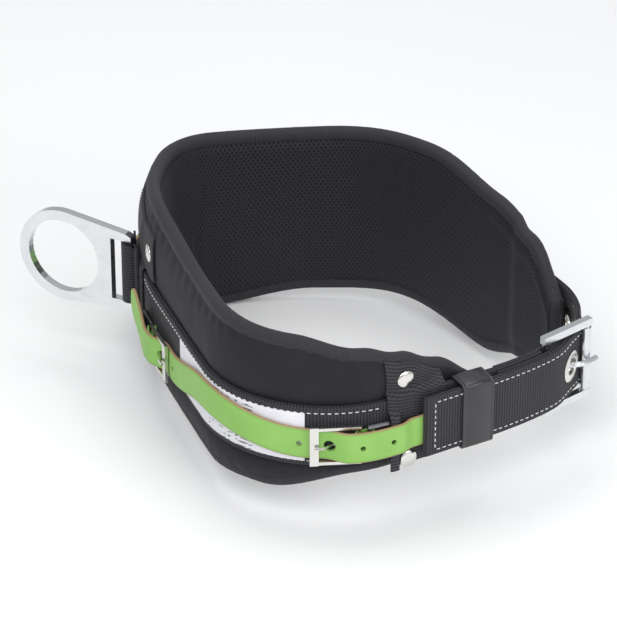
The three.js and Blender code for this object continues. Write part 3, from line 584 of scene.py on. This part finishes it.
def pad_grid(columns):
    """Stations, and heights at each that lie closer together near the pad's edges."""
    s = np.linspace(PAD_FROM - PAD_OVERRUN, PAD_TO + PAD_OVERRUN, 300)
    share = 0.5 - 0.5 * np.cos(np.linspace(0, math.pi, columns))
    top, low = pad_top(s)[:, None] - PAD_INSET, pad_bottom(s)[:, None] + PAD_INSET
    return s, share, top, low, low + (top - low) * share[None, :]


def cover():
    s, share, top, low, Z = pad_grid(49)
    S = s[:, None]
    n = cover_offset(S, Z)
    from_edge = np.minimum(top - Z, Z - low)
    pucker = 0.45 * np.sin(2 * math.pi * S / 13 + 3 * wobble(S, 0 * Z, 60))
    pucker = pucker * np.exp(-((from_edge - 7) / 6) ** 2)
    free = smooth01((np.abs(Z) - 24) / 8)
    n = n + free * (pucker + 1.1 * wobble(S, Z * 1.6, 46, 3.0) + 0.35 * wobble(S, Z, 14, 8.0))
    front = place(on_ring, S, n, Z)
    back = place(on_ring, S, PAD_MIDDLE - tuck(S), Z[:, ::-1])
    rings = np.concatenate([front, back], axis=1)
    around = np.concatenate([share * PAD_UNROLLED, PAD_UNROLLED + share * PAD_UNROLLED])
    piece = loft("pad_cover", rings, s, around, COVER, sharp=70)
    keep(piece, "saddle", "cover_fabric", "pad_outer_cover", "pad_foam_core")


def lining():
    s, share, top, low, Z = pad_grid(41)
    S = s[:, None]
    t = np.abs(2 * share[None, :] - 1)
    n = -14.3 - tuck(S) + 3.2 * t**5 + 0.8 * wobble(S, Z, 50, 5.0)
    n = n + 1.9 * np.exp(-(((S - CREASE) + 0.08 * Z) / 3.4) ** 2) * (1 - t**4)
    n = n - 0.9 * np.exp(-((top - Z - 11) / 4.5) ** 2)
    front = place(on_ring, S, n, Z)
    back = place(on_ring, S, PAD_MIDDLE - tuck(S) - 0.2, Z[:, ::-1])
    rings = np.concatenate([front, back], axis=1)
    around = np.concatenate([share * PAD_UNROLLED, PAD_UNROLLED + share * PAD_UNROLLED])
    heights = Z.mean(axis=0)
    around[: len(share)] = heights - heights[0]
    piece = loft("pad_lining", rings, s, around, LINING, sharp=70)
    keep(piece, "saddle", "spacer_mesh", "pad_mesh_lining")


def outline():
    """The pad's edge in the flat pattern, anticlockwise, evenly spaced."""
    s = np.arange(PAD_FROM, PAD_TO + 1, 2.0)
    right, left = PAD_TO + 5.3, PAD_FROM - 5.3
    top = np.stack([s, pad_top(s)], axis=1)
    low = np.stack([s, pad_bottom(s)], axis=1)
    near = [(right, z) for z in np.linspace(top[-1, 1] - 4, low[-1, 1] + 4, 16)]
    far = [(left, z) for z in np.linspace(low[0, 1] + 4, top[0, 1] - 4, 16)]
    raw = np.array([*top, *near, *low[::-1], *far])
    ahead = np.roll(raw, -1, axis=0)
    run = np.concatenate([[0], np.cumsum(np.linalg.norm(ahead - raw, axis=1))])
    closed = np.vstack([raw, raw[:1]])
    count = int(run[-1] / 2.5)
    at = np.arange(count) * run[-1] / count
    even = np.stack([np.interp(at, run, closed[:, i]) for i in (0, 1)], axis=1)
    weights = np.exp(-((np.arange(-4, 5) / 1.8) ** 2))
    weights /= weights.sum()
    return sum(w * np.roll(even, k, axis=0) for k, w in zip(range(-4, 5), weights)), at


def binding():
    edge, at = outline()
    along = np.roll(edge, -1, axis=0) - np.roll(edge, 1, axis=0)
    along /= np.linalg.norm(along, axis=1)[:, None]
    inward = np.stack([along[:, 1], -along[:, 0]], axis=1)
    section = [(8.2, 3.6), (7.6, 4.5), (4.5, 4.8), (1.7, 4.2), (0.3, 2.4), (-0.3, 0), (0.3, -2.4)]
    section += [(1.7, -4.2), (4.5, -4.8), (7.6, -4.5), (8.2, -3.6), (6.5, 0)]
    section = np.array(section)
    turn = 2 * math.pi * at / at[-1]
    wave = np.array([noise.noise(Vector((30 * math.cos(a), 30 * math.sin(a), 1))) for a in turn])
    small = np.array([noise.noise(Vector((90 * math.cos(a), 90 * math.sin(a), 7))) for a in turn])
    rings = np.zeros((len(edge), len(section), 3))
    for i, (deep, off) in enumerate(section):
        grow = deep + (0.7 * wave + 0.3 * small) * (deep > 4)
        p = edge + inward * grow[:, None]
        n = PAD_MIDDLE - tuck(p[:, 0]) + off * (1 + 0.07 * small)
        rings[:, i] = place(on_ring, p[:, 0], n, p[:, 1])
    piece = loft("pad_binding", rings, at, run_along(section), BINDING, loop=True, sharp=60)
    nodes = ["binding_top", "binding_bottom", "binding_end_left", "binding_end_right"]
    keep(piece, "saddle", "binding_tape", *nodes)


# ---- Webbing ----


def soft_most(a, b, blend=1.2):
    """The larger of two, rounded where they meet."""
    return 0.5 * (a + b + np.sqrt((a - b) ** 2 + blend**2))


def patch_offset(s, z):
    """Inner face of webbing laid over the belt and the pad."""
    belt = 2.3 - 9 * smooth01((np.abs(z) - BELT_HALF - 0.5) / 9)
    return soft_most(belt, cover_offset(s, z) + 0.3)


RIDGE_HALF, RIDGE_RISE, RIDGE_SLOPE = 2.75, 5.45, 2.6
RIDGE_TOP, RIDGE_FADE = 10.5, 6.5


def loop_offset(s, z):
    """Inner face of a front loop, with a ridge over the dark link that it holds."""
    past = np.abs(s - RING) - FRONT_LINK - RIDGE_HALF
    ridge = RIDGE_RISE * (1 - smooth01(past / RIDGE_SLOPE))
    ridge = ridge * (1 - smooth01((z - RIDGE_TOP) / RIDGE_FADE))
    return np.where(z > 0, patch_offset(s, z), BELT_FACE + PATCH_GAP + 0 * z) + ridge


def sheet(name, s, z_low, z_high, inner, thick, material, count=40):
    """Webbing with its length up the pad: a curved sheet with rounded selvedges."""
    t = np.linspace(0, 1, count)
    rows = z_low[None, :] + (z_high - z_low)[None, :] * t[:, None]
    S = np.broadcast_to(s[None, :], rows.shape)
    n = inner(S, rows)
    thin = np.ones(len(s))
    thin[[0, -1]] = 0.55
    thin[[1, -2]] = 0.92
    outer = place(on_ring, S, n + thick * (0.5 + thin / 2), rows)
    under = place(on_ring, S[:, ::-1], n[:, ::-1] + thick * (0.5 - thin / 2), rows[:, ::-1])
    rings = np.concatenate([outer, under], axis=1)
    across = s - s[0]
    around = np.concatenate([across, across[-1] + thick + across])
    return loft(name, rings, rows.mean(axis=1), around, material)


def ring_patch():
    high = float(pad_top(RING - SHOULDER)) - 8
    s = RING + np.linspace(-23, 23, 25)
    reach = (np.full(25, -48.0), np.full(25, high))
    piece = sheet("ring_patch_webbing", s, *reach, patch_offset, PATCH_THICK, WEBBING, 70)
    keep(piece, "saddle", "black_webbing", "ring_patch")
    for name, side in (("left", -1), ("right", 1)):
        s = RING + side * np.linspace(22.9, SHOULDER, 18)
        reach = (27.5 + 1.5 * np.linspace(0, 1, 18) ** 4, np.full(18, high))
        title = "ring_shoulder_webbing_" + name
        piece = sheet(title, s, *reach, patch_offset, PATCH_THICK, WEBBING, 30)
        keep(piece, "saddle", "black_webbing", "ring_shoulder_" + name)
    sleeve()


def sleeve():
    """The fold of webbing round the ring's bar, with a sewn foot on each side."""
    axis_out, radius, foot, half_thick = 9.4, 5.3, 5.2, 0.8
    mid = [(x, foot) for x in np.linspace(-16, -9, 6)]
    for a in np.linspace(215, -35, 26):
        r = math.radians(a)
        mid.append((radius * math.cos(r), axis_out + radius * math.sin(r)))
    mid += [(x, foot) for x in np.linspace(9, 16, 6)]
    mid = np.array(mid)
    ahead = np.gradient(mid, axis=0)
    ahead /= np.linalg.norm(ahead, axis=1)[:, None]
    side = np.stack([-ahead[:, 1], ahead[:, 0]], axis=1)
    z = RING_Z + np.linspace(-23.4, 23.4, 20)
    x0, y0, heading = [float(v) for v in on_ring(RING)]
    section = np.concatenate([mid + half_thick * side, (mid - half_thick * side)[::-1]])
    x = x0 + section[:, 0] * math.cos(heading) + section[:, 1] * math.sin(heading)
    y = y0 + section[:, 0] * math.sin(heading) - section[:, 1] * math.cos(heading)
    rings = np.zeros((len(z), len(section), 3))
    for i, height in enumerate(z):
        rings[i] = np.stack([x, y, np.full(len(x), BELT_Z + height)], axis=1) / 1000
    piece = loft("ring_sleeve", rings, z, run_along(section), WEBBING)
    keep(piece, "saddle", "black_webbing")


def front_loops():
    for name, side in (("left", -1), ("right", 1)):
        s = RING + side * LOOP_REACH + np.linspace(-LOOP_HALF, LOOP_HALF, 33)
        low = pad_bottom(s) + 5
        high = pad_top(s) - 5
        title = "front_loop_webbing_" + name
        piece = sheet(title, s, low, high, loop_offset, PATCH_THICK, WEBBING, 60)
        keep(piece, "saddle", "black_webbing", "front_loop_" + name)


def belt():
    half = BELT_HALF
    face = np.linspace(-half + 1, half - 1, 15)
    # two plies show at each selvedge, as a groove between two rounded edges
    selvedge = [(0.3, 1.7), (0, 1.1), (0.2, 0.5), (1.2, 0.1)]
    selvedge += [(deep, -off) for deep, off in selvedge[::-1]]
    section = [(z, BELT_FACE) for z in face]
    section += [(half - deep, off) for deep, off in selvedge]
    section += [(z, -BELT_FACE) for z in face[::-1]]
    section += [(-half + deep, off) for deep, off in selvedge[::-1]]
    section = np.array(section)
    s = np.arange(TAIL_TIP, PIVOT - 6, 2.5)
    rings = place(on_belt, s[:, None], section[None, :, 1], section[None, :, 0])
    piece = loft("main_belt_webbing", rings, s, run_along(section), WEBBING)
    drill(piece, [(e, 0) for e in EYELETS], EYELET_BARREL, on_belt)
    keep(piece, "saddle", "black_webbing", "main_belt")


def stitches(name, runs, material, body="saddle", dash=3.0, gap=1.5, radius=0.45):
    """Short raised threads along paths: each run is (route, offset, [(station, height), ...])."""
    points, faces, uvs = [], [], []
    rows, sides = 5, 6
    for route, offset, path in runs:
        path = np.array(path, float)
        run = run_along(path)
        for at in np.arange(gap, run[-1] - dash, dash + gap):
            share = np.linspace(0, 1, rows)
            s = np.interp(at + share * dash, run, path[:, 0])
            z = np.interp(at + share * dash, run, path[:, 1])
            fat = radius * np.sqrt(np.clip(1 - (2 * share - 1) ** 4, 0.05, 1))
            lift = offset + 0.25 * np.sin(math.pi * share)
            ahead = np.array([path[-1, 0] - path[0, 0], path[-1, 1] - path[0, 1]])
            ahead /= np.linalg.norm(ahead)
            base = len(points)
            for k in range(rows):
                for j in range(sides):
                    a = 2 * math.pi * j / sides
                    ds, dz = -ahead[1] * fat[k] * math.cos(a), ahead[0] * fat[k] * math.cos(a)
                    up = lift[k] + fat[k] * math.sin(a) * 0.8
                    points.append(place(route, s[k] + ds, up, z[k] + dz))
            for k in range(rows - 1):
                here, after = base + k * sides, base + (k + 1) * sides
                for j in range(sides):
                    i = (j + 1) % sides
                    faces.append((here + j, here + i, after + i, after + j))
                    u, v = k * 0.7, j * 0.5
                    uvs += [(u, v), (u, v + 0.5), (u + 0.7, v + 0.5), (u + 0.7, v)]
            for k, order in ((0, range(sides - 1, -1, -1)), (rows - 1, range(sides))):
                faces.append(tuple(base + k * sides + j for j in order))
                uvs += [(k * 0.7, j * 0.5) for j in order]
    piece = make(name, points, faces, uvs, material, sharp=80)
    outwards(piece)
    return keep(piece, body, None)


def belt_stitching():
    """White thread near both edges of the belt, between its patches, and round the free end."""
    inset = BELT_HALF - 4
    sewn = BELT_FACE - 0.05
    tail_end = 40
    stretches = [(tail_end, RING - 346), (RING - 297, RING - 24), (RING + 24, RING + 297)]
    runs = []
    for side in (-1, 1):
        for a, b in stretches:
            runs.append((on_belt, sewn, [(s, side * inset) for s in np.arange(a, b, 4)]))
        tail_edge = [(s, side * inset) for s in np.arange(TAIL_TIP + 7, tail_end, 4)]
        runs.append((on_belt, sewn, tail_edge))
        runs.append((on_belt, -sewn, tail_edge))
    across = [(TAIL_TIP + 7, z) for z in np.linspace(-inset, inset, 12)]
    runs.append((on_belt, sewn, across))
    stitches("belt_stitching", runs, WHITE_THREAD)


def patch_stitching():
    """Black thread up both sides of the ring's patch and of the front loops."""
    sewn = PATCH_THICK + 0.05
    runs = []
    for offset in (-20, 20):
        z = np.linspace(-44, 66, 50)
        s = np.full(len(z), RING + offset)
        runs.append((s, z, patch_offset(s, z) + sewn))
    for side in (-1, 1):
        for offset in (-19, 19):
            z = np.linspace(-24, 36, 40)
            s = np.full(len(z), RING + side * LOOP_REACH + offset)
            inside = (z < pad_top(s) - 7) & (z > pad_bottom(s) + 7)
            runs.append((s[inside], z[inside], loop_offset(s, z)[inside] + sewn))
    made = []
    for s, z, n in runs:
        for i in range(len(z) - 1):
            step = [(s[i], z[i]), (s[i + 1], z[i + 1])]
            made.append((on_ring, (n[i] + n[i + 1]) / 2, step))
    stitches("patch_stitching", made, BLACK_THREAD, dash=1.7, gap=0.2, radius=0.4)


def buckle_chape():
    """Webbing folded round the pivot bar, slotted for the prong."""
    width, thick = 43, 2
    middle = BELT_FACE + thick / 2 + 0.8

    def leg(side):
        return [flat_place(on_ring, PIVOT - back, side * middle) for back in (45, 30, 15, 5)]

    bend = []
    for a in (70, 35, 0, -35, -70):
        r = math.radians(a)
        bend.append(in_frame(middle * math.cos(r), middle * math.sin(r)))
    curve = catmull([*leg(1), *bend, *leg(-1)[::-1]], 24)
    run = run_along(curve)
    turn = np.unwrap(np.arctan2(*np.gradient(curve, axis=0).T[::-1]))

    def route(s):
        return [np.interp(s, run, curve[:, 0]), np.interp(s, run, curve[:, 1]), np.interp(s, run, turn)]

    section = rounded(width, thick, 1, across=12)
    s = np.arange(0, run[-1], 1.6)
    rings = place(route, s[:, None], section[None, :, 1], section[None, :, 0])
    piece = loft("buckle_chape_webbing", rings, s, run_along(section), WEBBING)
    slot = bmesh.new()
    bmesh.ops.create_cube(slot, size=1)
    middle_of_slot = Vector((*in_frame(3, 0).tolist(), BELT_Z)) / 1000
    turn = Euler((0, 0, FRAME_HEADING))
    cut(piece, slot, Matrix.LocRotScale(middle_of_slot, turn, Vector((0.018, 0.018, 0.0095))))
    keep(piece, "saddle", "black_webbing", "buckle_chape")


def keeper():
    """Leather keeper: a rounded band with a creased line near each edge."""
    back, width, thick, room = 66, 24, 1.8, 0.7
    low, high = -BELT_FACE - room, tail_offset(back) + BELT_FACE + room
    half = BELT_HALF + room
    inner = rounded_loop(half + 0.1, low - 0.1, high + 0.35, 0.8)
    outer = rounded_loop(half + thick, low - thick, high + thick, 3.0)
    across = np.array([0, 0.25, 0.9, 1.9, 2.3, 2.7, 12, 21.3, 21.7, 22.1, 23.1, 23.75, 24]) - width / 2
    lift = np.array([-0.55, -0.15, 0, 0, -0.35, 0, 0.1, 0, -0.35, 0, 0, -0.15, -0.55])
    x0, y0, heading = [float(v) for v in on_ring(PIVOT - back)]
    out = outer - np.array([0, (low + high) / 2])
    out = out / np.linalg.norm(out, axis=1)[:, None]
    rows = [(a, outer + up * out) for a, up in zip(across, lift)]
    rows += [(a, inner) for a in np.linspace(width / 2, -width / 2, 5)]
    rings = np.zeros((len(rows), len(outer), 3))
    for i, (a, ring) in enumerate(rows):
        x = x0 + a * math.cos(heading) + ring[:, 1] * math.sin(heading)
        y = y0 + a * math.sin(heading) - ring[:, 1] * math.cos(heading)
        rings[i] = np.stack([x, y, BELT_Z + ring[:, 0]], axis=1) / 1000
    along = np.arange(len(rows)) * 2.0
    piece = loft("keeper_leather", rings, along, run_along(outer), BLACK_LEATHER, loop=True, sharp=50)
    keep(piece, "keeper_loop", "black_leather", "keeper")


def rounded_loop(half, low, high, corner):
    """(height, offset) round a rectangle with rounded corners."""
    points = []
    for z, n, start in ((half, high, 0), (-half, high, 90), (-half, low, 180), (half, low, 270)):
        cz = z - math.copysign(corner, z)
        cn = n - corner if n == high else n + corner
        for a in np.linspace(0, 90, 7):
            r = math.radians(start + a)
            points.append((cz + corner * math.cos(r), cn + corner * math.sin(r)))
    return np.array(points)


def label():
    start, end, width, thick = 616, 750, 37, 0.4
    s = np.linspace(start, end, 60)
    section = rounded(width, thick, thick / 2, 1, 16)
    lift = 2.55 + 0.25 * wobble(s, 0 * s, 12)
    rings = place(on_ring, s[:, None], lift[:, None] + section[None, :, 1], section[None, :, 0])
    piece = loft("label_cloth", rings, s, run_along(section), LABEL)
    keep(piece, "saddle", "label_fabric", "label")


def link_tabs():
    """Webbing tabs over the rear links, each with a rise where the link lies under it."""
    width, thick, height, rise = 17.4, 1.5, -10, 7.75
    for name, side in (("left", -1), ("right", 1)):
        s = np.sort(RING + side * np.linspace(REAR_LINK - 8.4, REAR_LINK + 9, 30))
        away = np.abs(np.abs(s - RING) - REAR_LINK) - 2.25
        bump = rise + (BELT_FACE + PATCH_GAP - rise) * smooth01(away / 3)
        section = rounded(width, thick, 0.7, 2, 10)
        n = bump[:, None] + thick / 2 + section[None, :, 1]
        rings = place(on_ring, s[:, None], n, height + section[None, :, 0])
        piece = loft("link_tab_webbing_" + name, rings, s, run_along(section), WEBBING)
        keep(piece, "saddle", "black_webbing", "link_tab_" + name)


# ---- Accessory straps ----

# Distances are from the hanging ring, and heights over the webbing's middle.
STRAP_FROM, STRAP_TO = 34, 329
STRAP_WIDTH, STRAP_THICK = 23, 2.4
STRAP_RISE = [(34, 12.5), (50, 11.4), (64, 12.3), (70, 12), (88, 4.5), (98, 4.5), (170, 5)]
STRAP_RISE += [(240, 4.5), (256.5, 4.5), (274.5, 12), (280, 12.3), (305.5, 11.4), (316, 8), (329, 7.9)]
STRAP_HEIGHT = [(34, 9), (62, -10), (97, -10), (166, 6), (247, -3.4), (329, -3.4)]
PRONG_HOLE, SPARE_HOLE = 3.9, 1.9  # radii
HOLE_PITCH = 19.3
LINK_TO_PRONG = 41.4  # from a dark link to the hole that the small prong goes through


def strap_height(reach):
    return knots(STRAP_HEIGHT, reach)


def straps():
    for name, side in (("left", -1), ("right", 1)):
        reach = np.linspace(STRAP_FROM, STRAP_TO, 200)
        tip = np.sqrt(np.clip(1 - (1 - np.clip((reach - STRAP_FROM + 0.6) / 7, 0, 1)) ** 2, 0.02, 1))
        tip = 0.35 + 0.65 * tip
        section = rounded(STRAP_WIDTH, STRAP_THICK, 0.9, 2, 12)
        s = RING + side * reach
        height = strap_height(reach)[:, None] + section[None, :, 0] * tip[:, None]
        rise = knots(STRAP_RISE, reach)[:, None] + section[None, :, 1]
        dish = 0.35 * (section[None, :, 0] / (STRAP_WIDTH / 2)) ** 2
        rings = place(on_ring, s[:, None], rise - dish, height)
        piece = loft("accessory_strap_" + name, rings, reach, run_along(section), GREEN)
        rear, front = REAR_LINK + LINK_TO_PRONG, FRONT_LINK - LINK_TO_PRONG
        spare = [rear + HOLE_PITCH, front - HOLE_PITCH, front + HOLE_PITCH, front + 2 * HOLE_PITCH]
        for radius, places in ((SPARE_HOLE, spare), (PRONG_HOLE, [rear, front])):
            drill(piece, [(RING + side * r, strap_height(r)) for r in places], radius, on_ring, 40)
        keep(piece, "saddle", "green_leather", "strap_" + name)


# ---- Rivets and eyelets ----


def lathe(name, profile, places, route, material, segments=40):
    """Turned pieces facing outwards, at (station, height, offset)."""
    profile = np.array(profile, float)
    closed = bool(np.allclose(profile[0], profile[-1]))
    if closed:
        profile = profile[:-1]
    made = []
    for s, z, n in places:
        x, y, heading = [float(v) for v in route(s)]
        out = np.array([math.sin(heading), -math.cos(heading)])
        along = np.array([math.cos(heading), math.sin(heading)])
        angle = np.linspace(0, 2 * math.pi, segments, endpoint=False)
        rings = np.zeros((segments, len(profile), 3))
        for i, a in enumerate(angle):
            flat = np.array([x, y]) + profile[:, :1] * math.cos(a) * along + (n + profile[:, 1:]) * out
            rings[i, :, :2] = flat / 1000
            rings[i, :, 2] = (BELT_Z + z + profile[:, 0] * math.sin(a)) / 1000
        title = name + "_%d" % (len(made) + 1)
        piece = loft(title, rings, angle * 5, run_along(profile), material, loop=True, sharp=50)
        weld = bmesh.new()
        weld.from_mesh(piece.data)
        bmesh.ops.remove_doubles(weld, verts=weld.verts, dist=1e-6)
        bmesh.ops.recalc_face_normals(weld, faces=weld.faces)
        weld.to_mesh(piece.data)
        weld.free()
        made.append(piece)
    return made


def rivets():
    radius = 6.5
    dome = [math.radians(a) for a in np.linspace(0, 78, 10)]
    cap = [(radius * math.sin(a), 0.35 + 1.9 * math.cos(a)) for a in dome]
    rim = [(radius, 0.5), (radius - 0.05, 0.15), (radius - 0.5, 0.0), (0.0, 0.0)]
    profile = [(0.0, cap[0][1]), *cap[1:], *rim, (0.0, cap[0][1])]
    places = []
    for i, (s, z) in enumerate(RIVETS):
        inner = patch_offset if i < 2 else loop_offset
        places.append((s, z, float(inner(np.array(float(s)), np.array(float(z)))) + 2.1))
    pieces = lathe("rivet_cap", profile, places, on_ring, NICKEL)
    names = ["ring_left", "ring_right"]
    names += ["loop_left_top", "loop_left_low", "loop_right_top", "loop_right_low"]
    for piece, name in zip(pieces, names):
        keep(piece, "saddle", "nickel_steel", "rivet_" + name)


def eyelets():
    hole, flange, lip_round = 5.75, 2.45, 1.1
    lip = []
    for a in np.linspace(0, math.pi / 2, 5):
        lip.append((hole + lip_round - lip_round * math.cos(a), flange + 0.9 * math.sin(a)))
    face = [(9.5, flange + 0.75), (11.0, flange + 0.5), (11.5, flange + 0.15)]
    face += [(11.4, flange), (6.7, flange)]
    outer = [*lip, *face]
    inner = [(r, -n) for r, n in outer[::-1]]
    profile = [*outer, *inner, outer[0]]
    pieces = lathe("eyelet_ring", profile, [(e, 0, 0) for e in EYELETS], on_belt, NICKEL)
    for i, piece in enumerate(pieces):
        keep(piece, "saddle", "nickel_steel", "eyelet_%d" % (i + 1))


# ---- CAD nodes that stay ----


def finish_node(name, material, bevel, segments=3):
    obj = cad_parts[name]
    for slot in obj.material_slots:
        slot.material = material
    for face in obj.data.polygons:
        face.use_smooth = True
    edge = obj.modifiers.new("edge", "BEVEL")
    edge.width = bevel / 1000
    edge.segments = segments
    edge.limit_method = "ANGLE"
    edge.angle_limit = math.radians(40)
    edge.harden_normals = True


def hardware():
    finish_node("hanging_ring", ZINC, 1.1, 4)
    finish_node("buckle_frame", ZINC, 0.9)
    finish_node("buckle_roller", ZINC, 0.35)
    finish_node("buckle_prong", ZINC, 0.2, 2)
    for side in ("left", "right"):
        for end in ("rear", "front"):
            name = side + "_" + end
            finish_node("link_" + name, DARK, 0.3)
            finish_node("chape_" + name, GREEN_PLAIN, 0.35)
            finish_node("small_frame_" + name, NICKEL, 0.6)
            finish_node("small_prong_" + name, NICKEL, 0.2, 2)


cover()
lining()
binding()
ring_patch()
front_loops()
belt()
belt_stitching()
patch_stitching()
buckle_chape()
keeper()
label()
link_tabs()
straps()
rivets()
eyelets()
hardware()

# ---- Floor, light and camera ----


def floor():
    mesh = bpy.data.meshes.new("floor")
    mesh.from_pydata([(-6, -6, 0), (6, -6, 0), (6, 6, 0), (-6, 6, 0)], [], [(0, 1, 2, 3)])
    obj = bpy.data.objects.new("floor", mesh)
    f = Finish("floor_paint", Specular_IOR_Level=0.1, Roughness=0.8)
    f.set("Base Color", f.mix(f.noise(3, 2), (0.94, 0.94, 0.94), (0.9, 0.9, 0.9)))
    mesh.materials.append(f.material)
    bpy.context.scene.collection.objects.link(obj)


def lamp(name, at, size, power, aim=(0, 0, 0.08)):
    data = bpy.data.lights.new(name, "AREA")
    data.shape = "RECTANGLE"
    data.size, data.size_y = size
    data.energy = power
    obj = bpy.data.objects.new(name, data)
    obj.location = at
    obj.rotation_euler = (Vector(aim) - Vector(at)).to_track_quat("-Z", "Y").to_euler()
    bpy.context.scene.collection.objects.link(obj)


def studio():
    world = bpy.data.worlds.new("studio")
    world.use_nodes = True
    back = world.node_tree.nodes["Background"]
    back.inputs[0].default_value = (0.95, 0.97, 1, 1)
    back.inputs[1].default_value = 0.5
    bpy.context.scene.world = world
    lamp("key", (-1.4, -0.4, 1.6), (1.2, 1.2), 19)
    lamp("top", (0.2, 0.3, 1.9), (1.6, 1.6), 15)
    lamp("front", (-0.6, -1.8, 0.9), (1.2, 0.8), 11)
    bpy.context.scene.view_settings.view_transform = "Standard"


def camera():
    data = bpy.data.cameras.new("camera")
    data.sensor_width = 36
    data.lens = 210.8
    data.clip_start, data.clip_end = 0.1, 20
    obj = bpy.data.objects.new("camera", data)
    azimuth, elevation = math.radians(-63.1), math.radians(30.4)
    target, distance = Vector((-0.01181, -0.00971, 0.0809)), 2.518
    level = math.cos(elevation)
    back = Vector((math.sin(azimuth) * level, -math.cos(azimuth) * level, math.sin(elevation)))
    obj.location = target + distance * back
    obj.rotation_euler = back.to_track_quat("Z", "Y").to_euler()
    bpy.context.scene.collection.objects.link(obj)
    bpy.context.scene.camera = obj


floor()
studio()
camera()
